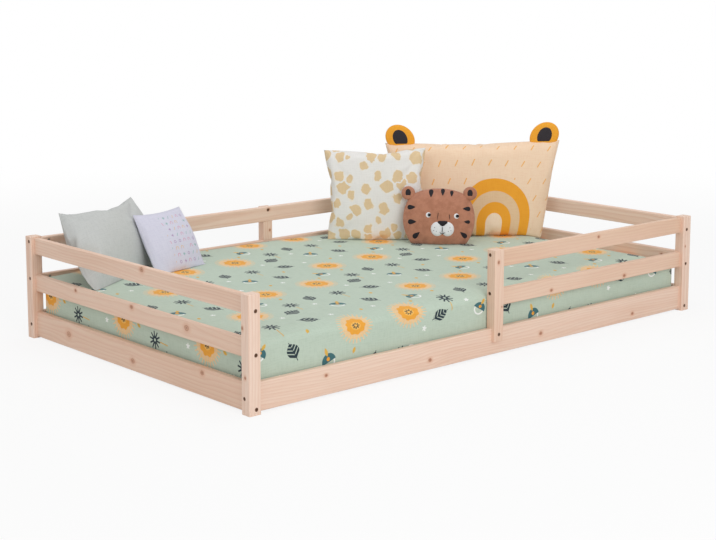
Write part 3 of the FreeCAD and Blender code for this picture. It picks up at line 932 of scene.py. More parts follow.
# ------------------------------------------------------------------------------ the frame
@dataclass
class Woodwork:
    """Posts, rails and the slatted base: the frame's own pieces, dressed in pine."""

    post_knots: dict[str, tuple[Knot, ...]] = field(default_factory=lambda: {
        "corner_post_front_left": (Knot(0.257, -0.605, 0.006), Knot(0.112, -0.617, 0.005)),
        "corner_post_front_right": (Knot(0.245, 1.009, 0.004),),
        "middle_post_front": (Knot(0.317, -0.006, 0.006), Knot(0.165, 0.012, 0.003)),
        "middle_post_rear": (Knot(0.26, 0.008, 0.005),),
    })
    long_knots: dict[str, tuple[Knot, ...]] = field(default_factory=lambda: {
        "side_rail_front": (Knot(-0.305, 0.037, 0.0075), Knot(0.223, 0.038, 0.008),
                            Knot(0.721, 0.030, 0.007), Knot(-0.74, 0.066, 0.006)),
        "side_rail_rear": (Knot(-0.55, 0.05, 0.008), Knot(0.34, 0.03, 0.009)),
        "guard_rail_front_lower": (Knot(0.274, 0.181, 0.0065), Knot(0.669, 0.178, 0.0075)),
        "guard_rail_front_upper": (Knot(0.52, 0.338, 0.006),),
        "guard_rail_rear_lower": (Knot(-0.1, 0.20, 0.007), Knot(0.6, 0.18, 0.008)),
        "guard_rail_rear_upper": (Knot(0.003, 0.342, 0.0065), Knot(-0.62, 0.315, 0.006)),
    })
    end_knots: dict[str, tuple[Knot, ...]] = field(default_factory=lambda: {
        "end_rail_left_upper": (Knot(-0.068, 0.344, 0.010),),
        "end_rail_left_lower": (Knot(0.333, 0.212, 0.007), Knot(-0.006, 0.214, 0.0085),
                                Knot(-0.308, 0.201, 0.0115)),
        "end_rail_left_bottom": (Knot(0.385, 0.052, 0.0125), Knot(-0.006, 0.038, 0.0105),
                                 Knot(-0.385, 0.077, 0.009)),
        "end_rail_right_upper": (Knot(0.21, 0.33, 0.007),),
        "end_rail_right_lower": (Knot(-0.532, 0.2, 0.0065), Knot(0.1, 0.19, 0.007)),
        "end_rail_right_bottom": (Knot(-0.2, 0.05, 0.008), Knot(0.4, 0.03, 0.007)),
    })
    tints: dict[str, float] = field(default_factory=lambda: {
        "corner_post_front_left": 0.03, "corner_post_front_right": 0.05, "side_rail_front": 0.16,
        "guard_rail_front_upper": 0.75, "guard_rail_front_lower": 0.62,
        "guard_rail_rear_upper": 0.08, "end_rail_right_upper": 0.0, "end_rail_right_lower": 0.0,
        "end_rail_left_bottom": 0.45, "end_rail_left_lower": 0.4, "end_rail_left_upper": 0.34,
    })
    bare_early: Colour = srgb(232, 208, 178)
    bare_late: Colour = srgb(212, 174, 136)

    def dress_board(self, node: str, grain: Axis, face: Axis, seed: float,
                    knots: tuple[Knot, ...]) -> None:
        """Finish one board of the visible frame."""
        wood = Pine("pine " + node, grain, face, seed, middle_of(node), knots,
                    tint=self.tints.get(node, 0.3 + 0.14 * math.sin(seed * 9.1)))
        dress(node, wood.build())

    def dress_bare(self, nodes: Iterable[str], grain: Axis, seed: float) -> None:
        """Finish boards of the base, which are planed and left bare."""
        for number, node in enumerate(nodes):
            wood = Pine("bare pine " + node, grain, Axis.Z, seed + number * 0.73,
                        middle_of(node), (), self.bare_early, self.bare_late)
            dress(node, wood.build())

    def build(self) -> list[str]:
        """Dress every wooden piece.

        Returns:
            The names of the pieces that were dressed.
        """
        names = sorted(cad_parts)
        posts = [n for n in names if n.startswith(("corner_post", "middle_post"))]
        for number, node in enumerate(posts):
            face = Axis.X if node == "corner_post_front_left" else Axis.Y
            self.dress_board(node, Axis.Z, face, 1.3 + number * 1.7, self.post_knots.get(node, ()))
        for number, (node, knots) in enumerate(self.long_knots.items()):
            self.dress_board(node, Axis.X, Axis.Y, 2.1 + number * 2.9, knots)
        for number, (node, knots) in enumerate(self.end_knots.items()):
            self.dress_board(node, Axis.Y, Axis.X, 4.7 + number * 3.3, knots)
        slats = [n for n in names if n.startswith("slat_") and n[-2:].isdigit()]
        beams = ["slat_ledger_front", "slat_ledger_rear", "centre_beam"]
        blocks = ["beam_cleat_left", "beam_cleat_right", "beam_feet"]
        self.dress_bare(slats + blocks, Axis.Y, 3.1)
        self.dress_bare(beams, Axis.X, 8.2)
        dress("dowels", Pine("beech", Axis.Y, Axis.Z, 6.6, middle_of("dowels"), (),
                             srgb(222, 186, 150), srgb(196, 154, 116)).build())
        return posts + slats + beams + blocks + list(self.long_knots) + list(self.end_knots)


@dataclass
class Fittings:
    """Bolts, nuts, screws, and the tapes and staples that hold the slats at their pitch."""

    bronze: Metal = Metal("bronzed steel", srgb(122, 92, 74), srgb(84, 60, 46), 0.4)
    zinc: Metal = Metal("zinc plate", srgb(176, 176, 172), srgb(140, 142, 140), 0.3)
    tape: Webbing = Webbing()
    bolts: tuple[str, ...] = ("side_rail_bolts", "end_rail_bolts", "middle_post_bolts")
    plated: tuple[str, ...] = ("barrel_nuts", "round_nuts", "ledger_screws", "cleat_screws",
                               "slat_screws", "tape_staples")

    def build(self) -> list[str]:
        """Dress every fitting.

        Returns:
            The names of the pieces that were dressed.
        """
        bronze, zinc = self.bronze.build(), self.zinc.build()
        for node in self.bolts:
            dress(node, bronze)
        for node in self.plated:
            dress(node, zinc)
        dress("slat_tapes", self.tape.build())
        return [*self.bolts, *self.plated, "slat_tapes"]


# ---------------------------------------------------------------------------- the bedding
class Side(Enum):
    """The part of a wrapped slab that a face belongs to."""

    TOP = 0
    LONG = 1
    SHORT = 2
    UNDER = 3


def eased(share: np.ndarray) -> np.ndarray:
    """Go from 0 to 1 with a soft start and end while the share goes from 0 to 1."""
    kept = np.clip(share, 0.0, 1.0)
    return kept * kept * (3 - 2 * kept)


def bed_relief(x: np.ndarray, y: np.ndarray) -> np.ndarray:
    """How far the soft top of the bed stands over or under its level, at places on it.

    Args:
        x, y: the places, in metres.

    Returns:
        The rise: the right end and the front edge fall away and the rear middle swells a little.
    """
    pressed = -0.036 * eased((x - 0.84) / 0.16)
    swell = 0.008 * eased((y - 0.15) / 0.35) * eased((x + 1.0) / 0.25) * eased((0.32 - x) / 0.36)
    worn = -0.013 * eased((-y - 0.525) / 0.072)
    waves = 0.0014 * np.sin(x * 7.0 + 1.0) * np.sin(y * 8.0)
    return pressed + swell + worn + waves


@dataclass
class WrappedSlab:
    """A slab with rounded corners, such as a mattress or the sheet round it."""

    low: Vector
    high: Vector
    corner: float
    top_round: float
    bottom_round: float
    step: float = 0.0135
    hem: float = 0.0

    CORNER_LINES = 8
    TOP_LINES = 6
    BOTTOM_LINES = 5

    def lines(self, half: float) -> np.ndarray:
        """Places of the mesh lines along one axis, closer together near its ends."""
        plain = half - self.corner
        near = np.linspace(plain, half, self.CORNER_LINES)
        inner = np.linspace(-plain, plain, max(2, round(2 * plain / self.step)))
        return np.concatenate([-near[::-1], inner[1:-1], near])

    def lattice(self) -> tuple[np.ndarray, list[list[int]], list[Side]]:
        """Mesh the slab's box before its edges are rounded.

        Returns:
            Its points, its faces, and the part that each face belongs to.
        """
        half = (self.high - self.low) / 2
        middle = (self.high + self.low) / 2
        xs, ys = self.lines(half.x), self.lines(half.y)
        top = np.linspace(half.z, half.z - self.top_round, self.TOP_LINES)
        bottom = np.linspace(-half.z + self.bottom_round, -half.z, self.BOTTOM_LINES)
        side = np.linspace(top[-1], bottom[0], max(2, round((top[-1] - bottom[0]) / self.step)))
        zs = np.concatenate([top, side[1:-1], bottom])[::-1]
        index: dict[tuple[int, int, int], int] = {}
        points: list[Place] = []
        faces: list[list[int]] = []
        parts: list[Side] = []

        def at(i: int, j: int, k: int) -> int:
            """The number of a lattice point, made when it is first asked for."""
            if (i, j, k) not in index:
                index[i, j, k] = len(points)
                points.append((xs[i] + middle.x, ys[j] + middle.y, zs[k] + middle.z))
            return index[i, j, k]

        def add(part: Side, *corners: tuple[int, int, int]) -> None:
            """Add a face of four lattice points."""
            faces.append([at(*corner) for corner in corners])
            parts.append(part)

        last_x, last_y, last_z = len(xs) - 1, len(ys) - 1, len(zs) - 1
        for i in range(last_x):
            for j in range(last_y):
                add(Side.TOP, (i, j, last_z), (i + 1, j, last_z), (i + 1, j + 1, last_z),
                    (i, j + 1, last_z))
                inset = min(half.x - abs(xs[i] + xs[i + 1]) / 2,
                            half.y - abs(ys[j] + ys[j + 1]) / 2)
                if not self.hem or inset < self.hem:
                    add(Side.UNDER, (i, j, 0), (i, j + 1, 0), (i + 1, j + 1, 0), (i + 1, j, 0))
        for k in range(last_z):
            for i in range(last_x):
                add(Side.LONG, (i, 0, k), (i + 1, 0, k), (i + 1, 0, k + 1), (i, 0, k + 1))
                add(Side.LONG, (i, last_y, k), (i, last_y, k + 1), (i + 1, last_y, k + 1),
                    (i + 1, last_y, k))
            for j in range(last_y):
                add(Side.SHORT, (0, j, k), (0, j, k + 1), (0, j + 1, k + 1), (0, j + 1, k))
                add(Side.SHORT, (last_x, j, k), (last_x, j + 1, k), (last_x, j + 1, k + 1),
                    (last_x, j, k + 1))
        return np.array(points), faces, parts

    def rounded(self, points: np.ndarray) -> np.ndarray:
        """Round the upright corners, then the top and bottom edges.

        Args:
            points: the box's own points.

        Returns:
            The points on the rounded slab.
        """
        half = np.array((self.high - self.low) / 2)
        middle = np.array((self.high + self.low) / 2)
        local = points - middle
        sign = np.where(local >= 0, 1.0, -1.0)
        size = np.abs(local)
        past = np.maximum(size[:, :2] - (half[:2] - self.corner), 0)
        reach = np.linalg.norm(past, axis=1)
        level = past.max(axis=1)
        way = past / np.maximum(reach, 1e-9)[:, None]
        plan = np.minimum(size[:, :2], half[:2] - self.corner) + way * level[:, None]
        inset = self.corner - level
        height = local[:, 2].copy()
        for radius, up in ((self.top_round, 1.0), (self.bottom_round, -1.0)):
            out = np.maximum(radius - inset, 0)
            rise = np.maximum(height * up - (half[2] - radius), 0)
            long = np.hypot(out, rise)
            share = np.maximum(out, rise) / np.maximum(long, 1e-9)
            both = (out > 0) & (rise > 0)
            plan += np.where(both, out * (share - 1), 0)[:, None] * way
            height += np.where(both, rise * (share - 1), 0) * up
        height += bed_relief(points[:, 0], points[:, 1]) * eased(height / half[2])
        return np.column_stack([plan * sign[:, :2], height]) + middle

    def cloth_place(self, point: np.ndarray, part: Side) -> Flat:
        """Where a point of the box lies on flat cloth wrapped over the top and down the sides."""
        middle = (self.high + self.low) / 2
        x, y = point[0] - middle.x, point[1] - middle.y
        drop = self.high.z - point[2]
        if part is Side.UNDER:
            long_edge = self.high.y - middle.y
            return x, math.copysign(long_edge + drop + long_edge - abs(y), y)
        if part is Side.LONG:
            return x, y + math.copysign(drop, y)
        if part is Side.SHORT:
            return x + math.copysign(drop, x), y
        return x, y


@dataclass
class Bedding:
    """The mattress and the fitted sheet stretched over it."""

    stitches: StitchRow
    sheet_thickness: float = 0.0011
    hem: float = 0.12
    corner: float = 0.022
    top_round: float = 0.022
    bottom_round: float = 0.017
    wave: float = 0.0011
    stitch_inset: float = 0.012

    def build(self) -> list[bpy.types.Object]:
        """Make the mattress, the sheet and the sheet's hem stitches.

        Returns:
            The pieces.
        """
        return [self.mattress(), *self.sheet()]

    def mattress(self) -> bpy.types.Object:
        """The foam mattress in its ticking, seen only from below."""
        low, high = box_of("mattress")
        slab = WrappedSlab(low, high, self.corner, self.top_round, self.bottom_round, 0.022)
        points, faces, parts = slab.lattice()
        ticking = Cotton("mattress ticking", srgb(236, 236, 230), srgb(214, 214, 206)).build()
        piece = add_mesh("mattress_foam", slab.rounded(points), faces, ticking)
        set_cover_map(piece, lambda face, vertex: slab.cloth_place(points[vertex], parts[face]))
        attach(piece, "mattress")
        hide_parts("mattress")
        return piece

    def ripples(self, points: np.ndarray, slab: WrappedSlab) -> np.ndarray:
        """How far the cloth lies inside its tight shape, from slack along the sides and corners."""
        middle = np.array((slab.high + slab.low) / 2)
        local = points - middle
        drop = np.clip((slab.high.z - points[:, 2]) / (slab.high.z - slab.low.z), 0, 1)
        run = np.where(np.abs(local[:, 0]) > slab.high.x - middle[0] - self.corner,
                       local[:, 1], local[:, 0])
        gathers = 0.5 + 0.5 * np.sin(run * 61.0 + 1.7 * np.sin(run * 23.0))
        drift = 0.5 + 0.5 * np.sin(local[:, 0] * 7.3 + local[:, 1] * 5.1
                                   + 1.3 * np.sin(local[:, 1] * 9.7 - local[:, 0] * 3.1))
        return self.wave * (gathers * drop ** 1.5 + 0.5 * drift)

    def sheet(self) -> list[bpy.types.Object]:
        """The printed fitted sheet, turned under the mattress, with its hem sewn.

        Returns:
            The sheet and its stitches.
        """
        low, high = box_of("fitted_sheet")
        slab = WrappedSlab(low, high, self.corner, self.top_round, self.bottom_round, hem=self.hem)
        points, faces, parts = slab.lattice()
        cloth = Cotton("printed cotton", srgb(193, 208, 192), srgb(180, 196, 180),
                       sheet_print).build()
        piece = add_mesh("fitted_sheet_cloth", slab.rounded(points), faces, cloth)
        set_cover_map(piece, lambda face, vertex: slab.cloth_place(points[vertex], parts[face]))
        normals = np.array([v.normal for v in piece.data.vertices])
        above_hem = points[:, 2] > low.z + 1e-4
        shift = self.ripples(points, slab) * above_hem
        placed = slab.rounded(points) - normals * shift[:, None]
        for vertex, place in zip(piece.data.vertices, placed):
            vertex.co = place
        thick = piece.modifiers.new("cloth", "SOLIDIFY")
        thick.thickness = self.sheet_thickness
        thick.offset = -1.0
        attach(piece, "mattress")
        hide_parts("fitted_sheet")
        return [piece, self.hem_stitches(low, high)]

    def hem_stitches(self, low: Vector, high: Vector) -> bpy.types.Object:
        """The row of stitches that holds the sheet's turned edge under the mattress."""
        inset = self.hem - self.stitch_inset
        left, right = low.x + inset, high.x - inset
        front, back = low.y + inset, high.y - inset
        corners = ((left, front), (right, front), (right, back), (left, back))
        path = [(x, y, low.z) for x, y in corners]
        thread = Thread("sheet thread", srgb(214, 222, 208), srgb(180, 192, 176)).build()
        row = self.stitches.sew("sheet_hem_stitches", path, thread)
        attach(row, "mattress")
        return row


# --------------------------------------------------------------------------- the cushions
@dataclass(frozen=True)
class Cover:
    """How a cushion's cover is cut and how full it is.

    roundness runs from 0 for square corners to 1 for an oval, and foot is the same for the lower
    half. settled and taut are the shares of the hollow in the lower and upper edge that are taken
    out, below by the cushion's weight and above by a tight seam. bow is how far the left and the
    right side swell out between their corners, and sag how far the upper edge sinks between its
    corners.
    """

    width: float
    height: float
    thick: float
    roundness: float = 0.04
    foot: float = 0.08
    settled: float = 0.85
    taut: float = 0.25
    bending: float = 0.4
    cell: float = 0.0085
    pressure: float = 2.5
    draw_in: float = 0.05
    bow: Flat = (0.0, 0.0)
    sag: float = 0.0

    def outline(self, u: np.ndarray, v: np.ndarray) -> tuple[np.ndarray, np.ndarray]:
        """Places on the flat cloth for shares of its width and height from -1 to 1."""
        oval_u = u * np.sqrt(1 - v ** 2 / 2)
        oval_v = v * np.sqrt(1 - u ** 2 / 2)
        share = np.where(v < 0, self.foot, self.roundness)
        x = u * (1 - share) + oval_u * share
        y = v * (1 - share) + oval_v * share
        return x * self.width / 2, y * self.height / 2


class InflatedCover:
    """Two layers of cloth sewn at their rim and blown up by a cloth simulation."""

    FRAMES = 40
    SETTINGS = {
        "quality": 6, "mass": 0.25, "tension_stiffness": 22.0, "compression_stiffness": 22.0,
        "shear_stiffness": 9.0, "tension_damping": 8.0, "compression_damping": 8.0,
        "air_damping": 2.5, "use_pressure": True,
    }
    START_PUFF = 0.012

    def __init__(self, cover: Cover) -> None:
        """Cut the cloth.

        Args:
            cover: the cover's sizes.
        """
        self.cover = cover
        columns = round(cover.width / cover.cell)
        rows = round(cover.height / cover.cell)
        u, v = np.meshgrid(np.linspace(-1, 1, columns + 1), np.linspace(-1, 1, rows + 1))
        x, y = cover.outline(u, v)
        puff = self.START_PUFF * (1 - u ** 2) * (1 - v ** 2) + 0.0002
        count = (rows + 1) * (columns + 1)
        front = np.arange(count).reshape(rows + 1, columns + 1)
        back = front.copy()
        back[1:-1, 1:-1] = count + np.arange((rows - 1) * (columns - 1)).reshape(rows - 1, -1)
        rim = np.ones_like(front, dtype=bool)
        rim[1:-1, 1:-1] = False
        front_points = np.stack([x, y, np.where(rim, 0, puff)], axis=-1).reshape(-1, 3)
        back_points = np.stack([x, y, -puff], axis=-1)[1:-1, 1:-1].reshape(-1, 3)
        self.flat = np.vstack([front_points, back_points])
        self.front, self.back = front, back
        self.faces = [
            [int(layer[r + down, c + right]) for down, right in corners]
            for layer, corners in ((front, ((0, 0), (0, 1), (1, 1), (1, 0))),
                                   (back, ((0, 0), (1, 0), (1, 1), (0, 1))))
            for r in range(rows) for c in range(columns)
        ]

    def rim(self, inset: int = 0) -> list[int]:
        """The front layer's points round the cover, so many cells in from the seam."""
        ring = self.front[inset: self.front.shape[0] - inset, inset: self.front.shape[1] - inset]
        loop = [*ring[0, :], *ring[1:, -1], *ring[-1, -2::-1], *ring[-2:0:-1, 0]]
        return [int(i) for i in loop]

    def shaped(self) -> np.ndarray:
        """The filled cover's points, in its own axes, with its thickness as asked.

        Returns:
            The points: x along its width, y up its height, z towards the front.
        """
        points = self.simulated()
        points[:, 2] *= self.cover.thick / np.ptp(points[:, 2])
        low, high = points[:, 1].min(), points[:, 1].max()
        share = (points[:, 1] - low) / (high - low)
        settled = self.hollow(points, self.front[0]) * (1 - share) ** 2 * self.cover.settled
        taut = self.hollow(points, self.front[-1]) * share ** 2 * self.cover.taut
        points[:, 1] += taut - settled
        self.size = (float(np.ptp(points[:, 0])), float(np.ptp(points[:, 1])))
        reach = points[:, 0] / (self.size[0] / 2)
        swell = np.where(reach < 0, self.cover.bow[0], self.cover.bow[1])
        points[:, 0] += reach * swell * 4 * share * (1 - share)
        points[:, 1] -= self.cover.sag * np.clip(1 - reach ** 2, 0, 1) * share ** 2
        return points

    @staticmethod
    def hollow(points: np.ndarray, edge: np.ndarray) -> np.ndarray:
        """How far one long edge is drawn in at each point's place along it."""
        places = points[edge]
        tip = np.abs(places[:, 1]).max()
        return np.interp(points[:, 0], places[:, 0], tip - np.abs(places[:, 1]))

    def simulated(self) -> np.ndarray:
        """Run the cloth simulation with pressure inside and no gravity.

        Returns:
            The points of the first frame in which the cover is thick enough, or of the last one.
        """
        piece = add_mesh("cover being filled", self.flat, self.faces, bpy.data.materials[0])
        cloth = piece.modifiers.new("filling", "CLOTH")
        settings = cloth.settings
        for key, value in self.SETTINGS.items():
            setattr(settings, key, value)
        settings.bending_stiffness = self.cover.bending
        settings.uniform_pressure_force = self.cover.pressure
        settings.effector_weights.gravity = 0.0
        cloth.collision_settings.use_collision = False
        cloth.point_cache.frame_start = 1
        cloth.point_cache.frame_end = self.FRAMES
        points = np.empty(len(self.flat) * 3)
        for number in range(1, self.FRAMES + 1):
            bpy.context.scene.frame_set(number)
            filled = piece.evaluated_get(bpy.context.evaluated_depsgraph_get()).data
            filled.vertices.foreach_get("co", points)
            if np.ptp(points[2::3]) > self.cover.thick:
                break
        LOG.info("filled to %.3f m in %d frames", np.ptp(points[2::3]), number)
        bpy.data.objects.remove(piece)
        bpy.context.scene.frame_set(1)
        return points.reshape(-1, 3)


@dataclass(frozen=True)
class Seat:
    """Where a cushion sits: its four seam corners, bottom left first and then anticlockwise.

    Each corner lies so far in from the end rails, so far in from the rear rails and so high above
    the made bed.
    """

    end: End
    corners: tuple[Place, ...]
    sink: float = 0.016
    clearance: float = 0.0006

    def places(self) -> list[Vector]:
        """The corners in the bed's axes."""
        left = box_of("end_rail_left_upper")[1].x
        right = box_of("end_rail_right_upper")[0].x
        rear = box_of("guard_rail_rear_upper")[0].y
        bed = box_of("fitted_sheet")[1].z
        edge = left if self.end is End.LEFT else right
        return [Vector((edge - self.end.value * inward, rear - across, bed + up))
                for inward, across, up in self.corners]

    def carry(self, points: np.ndarray, width: float, height: float) -> np.ndarray:
        """Carry a cover from its own axes onto its seat.

        Args:
            points: the cover's points.
            width: its width from corner to corner.
            height: its height from corner to corner.

        Returns:
            The points in the bed's axes, flat where they rest on it.
        """
        corners = [np.array(place) for place in self.places()]
        for corner in corners[:2]:
            corner[2] += max(0.0, bed_relief(corner[0], corner[1])) - self.sink
        low_left, low_right, top_right, top_left = corners
        s = (points[:, 0] / width + 0.5)[:, None]
        t = (points[:, 1] / height + 0.5)[:, None]
        placed = ((1 - s) * (1 - t) * low_left + s * (1 - t) * low_right
                  + s * t * top_right + (1 - s) * t * top_left)
        across = (1 - t) * (low_right - low_left) + t * (top_right - top_left)
        up = (1 - s) * (top_left - low_left) + s * (top_right - low_right)
        normal = np.cross(across, up)
        normal /= np.linalg.norm(normal, axis=1)[:, None]
        placed = placed + normal * points[:, 2:3]
        rest = box_of("fitted_sheet")[1].z + bed_relief(placed[:, 0], placed[:, 1])
        placed[:, 2] = np.maximum(placed[:, 2], rest + self.clearance)
        return placed

    def normal(self) -> Vector:
        """The way that the cushion's front faces."""
        low_left, low_right, top_right, top_left = self.places()
        across = (low_right - low_left) + (top_right - top_left)
        up = (top_left - low_left) + (top_right - low_right)
        return across.cross(up).normalized()


@dataclass
class Cushion:
    """A loose cushion: its cover, its seat and its finish."""

    node: str
    slot: str
    cover: Cover
    seat: Seat
    finish: Union[Cotton, Plush]
    fill: float = 0.7
    stitch: Union[Thread, None] = None

    SEAM_CREASE = 0.6
    STITCH_LIFT = 0.0006

    def build(self, stitches: StitchRow) -> list[bpy.types.Object]:
        """Fill the cover, set it on its seat and sew its seam.

        Args:
            stitches: sews the rows of stitches.

        Returns:
            The pieces.
        """
        blown = InflatedCover(self.cover)
        points = blown.shaped()
        self.size = blown.size
        placed = self.seat.carry(points, *blown.size)
        piece = add_mesh(self.node + "_cover", placed, blown.faces, self.finish.build())
        set_cover_map(piece, lambda face, vertex: tuple(blown.flat[vertex][:2]))
        crease = piece.data.attributes.new("crease_edge", "FLOAT", "EDGE")
        rim = set(blown.rim())
        for edge in piece.data.edges:
            on_seam = rim.issuperset(edge.vertices)
            crease.data[edge.index].value = self.SEAM_CREASE if on_seam else 0.0
        subdivide(piece, 1)
        self.piece = piece
        self.declare(piece, self.node)
        made = [piece]
        if self.stitch:
            lift = np.array(self.seat.normal()) * self.STITCH_LIFT
            lifted = [placed[i] + lift for i in blown.rim(1)]
            row = stitches.sew(self.node + "_stitches", lifted, self.stitch.build())
            self.declare(row)
            made.append(row)
        return made

    def declare(self, piece: bpy.types.Object, *nodes: str) -> None:
        """Let a piece ride with this cushion, in place of the nodes named."""
        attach(piece, self.node)
        if nodes:
            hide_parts(*nodes)

    def on_plane(self, u: float, v: float) -> Vector:
        """A point of the cushion's middle plane, from its own middle, in metres."""
        low_left, low_right, top_right, top_left = self.seat.places()
        s, t = u / self.size[0] + 0.5, v / self.size[1] + 0.5
        bottom, top = low_left.lerp(low_right, s), top_left.lerp(top_right, s)
        return bottom.lerp(top, t)


@dataclass(frozen=True)
class Patch:
    """A felt piece laid on a cushion's front: its outline, place, size, turn and rise."""

    name: str
    outline: Callable[[float], Flat]
    centre: Flat
    size: Flat
    degrees: float
    rise: float
    felt: Thread

    MESH = DiscMesh(rings=6, count=40)
    EMBED = 0.0012
    SHRINKS = (1.0, 0.85, 0.7, 0.5, 0.3, 0.0)
    RAY_START = 0.3

    def lay(self, cushion: Cushion) -> bpy.types.Object:
        """Lay the patch on a cushion.

        Args:
            cushion: the cushion, already built.

        Returns:
            The patch: a closed low dome that follows the cushion's front.
        """
        surface = BVHTree.FromObject(cushion.piece, bpy.context.evaluated_depsgraph_get())
        normal = cushion.seat.normal()
        cosine, sine = direction(self.degrees)

        def on_front(share: float, turn: float) -> Vector:
            """Where a point of the patch meets the cushion's front, drawn in if it misses it."""
            x, y = self.outline(turn)
            for shrink in self.SHRINKS:
                reach_x = x * self.size[0] * share * shrink
                reach_y = y * self.size[1] * share * shrink
                u = self.centre[0] + reach_x * cosine - reach_y * sine
                v = self.centre[1] + reach_x * sine + reach_y * cosine
                start = cushion.on_plane(u, v)
                hit = surface.ray_cast(start + normal * self.RAY_START, -normal)[0]
                if hit:
                    return hit
            return start

        def on_dome(layer: int, share: float, turn: float) -> Vector:
            """A point of the patch's dome, or of its underside."""
            height = self.rise * crown(share, 4) if layer > 0 else -self.EMBED
            return on_front(share, turn) + normal * height

        piece = add_mesh(self.name, self.MESH.points(on_dome), self.MESH.faces(), self.felt.build())
        cushion.declare(piece)
        return piece


def oval(turn: float) -> Flat:
    """A circle of radius 1."""
    return math.cos(turn), math.sin(turn)


def half_round(turn: float) -> Flat:
    """A disc cut straight across below its middle."""
    return math.cos(turn), max(math.sin(turn), -0.6)


def wedge(turn: float) -> Flat:
    """A stroke that is broad and round at one end and narrow at the other."""
    x = math.cos(turn)
    return x, math.sin(turn) * (0.62 + 0.38 * x)


def snout(turn: float) -> Flat:
    """A rounded triangle that points down."""
    reach = 1 + 0.16 * math.cos(3 * (turn + math.pi / 2))
    return math.cos(turn) * reach, math.sin(turn) * reach * 0.85


@dataclass(frozen=True)
class Plane:
    """The plane of an ear: its middle and the ways across and up it."""

    middle: Vector
    across: Vector
    up: Vector

    def point(self, x: float, y: float, height: float) -> Vector:
        """A point so far across, up and out of the plane."""
        normal = self.across.cross(self.up).normalized()
        return self.middle + self.across * x + self.up * y + normal * height


@dataclass
class RoundEars:
    """Two round ears sewn into a cushion's top seam."""

    cushion: Cushion
    node: str
    radius: float
    thick: float
    inset: float
    rise: float
    finish: Union[Cotton, Plush]
    inner: Thread
    inner_size: Flat

    OUTER = DiscMesh(rings=10, count=48, shares_rim=True)
    INNER = DiscMesh(rings=5, count=32)
    INNER_RISE = 0.0012
    INNER_EMBED = 0.001

    def build(self) -> list[bpy.types.Object]:
        """Make both ears as one piece, and the dark patch on each.

        Returns:
            The pieces.
        """
        points: list[Vector] = []
        faces: list[list[int]] = []
        cloth: list[Flat] = []
        patches: list[bpy.types.Object] = []
        low_left, low_right, top_right, top_left = self.cushion.seat.places()
        across = (top_right - top_left).normalized()
        dark = self.inner.build()
        for number, (corner, inward, below) in enumerate(
                ((top_left, across, low_left), (top_right, -across, low_right))):
            up = (corner - below).normalized()
            plane = Plane(corner + inward * self.inset + up * self.rise, across, up)
            faces += self.OUTER.faces(len(points))
            points += self.OUTER.points(self.on_ear(plane, cloth))
            patches.append(self.inner_patch(number, plane, dark))
        piece = add_mesh(self.node + "_cloth", points, faces, self.finish.build())
        set_cover_map(piece, lambda face, vertex: cloth[vertex])
        subdivide(piece, 1)
        self.cushion.declare(piece, self.node)
        return [piece, *patches]

    def bulge(self, share: float) -> float:
        """Half the ear's thickness at a share of its radius."""
        return self.thick / 2 * crown(share, 2.6)

    def on_ear(self, plane: Plane, cloth: list[Flat]) -> Callable[[int, float, float], Vector]:
        """Place the points of one ear.

        Args:
            plane: the ear's plane.
            cloth: gets each point's place on the flat cloth.

        Returns:
            The function that places a point.
        """
        def place(layer: int, share: float, turn: float) -> Vector:
            """A point of the ear's front or back."""
            x, y = (part * share * self.radius for part in oval(turn))
            cloth.append((x, y))
            return plane.point(x, y, self.bulge(share) * layer)

        return place

    def inner_patch(self, number: int, plane: Plane, dark: bpy.types.Material) -> bpy.types.Object:
        """The dark patch on the front of one ear.

        Args:
            number: the ear's number, from 0.
            plane: the ear's plane.
            dark: the patch's finish.

        Returns:
            The patch.
        """
        def place(layer: int, share: float, turn: float) -> Vector:
            """A point of the patch's dome, or of its underside."""
            x, y = half_round(turn)
            x, y = x * self.inner_size[0] * share, y * self.inner_size[1] * share
            rise = self.INNER_RISE * crown(share, 4) if layer > 0 else -self.INNER_EMBED
            return plane.point(x, y, self.bulge(min(1.0, math.hypot(x, y) / self.radius)) + rise)

        piece = add_mesh(f"{self.node}_inner_{number + 1}", self.INNER.points(place),
                         self.INNER.faces(), dark)
        self.cushion.declare(piece)
        return piece


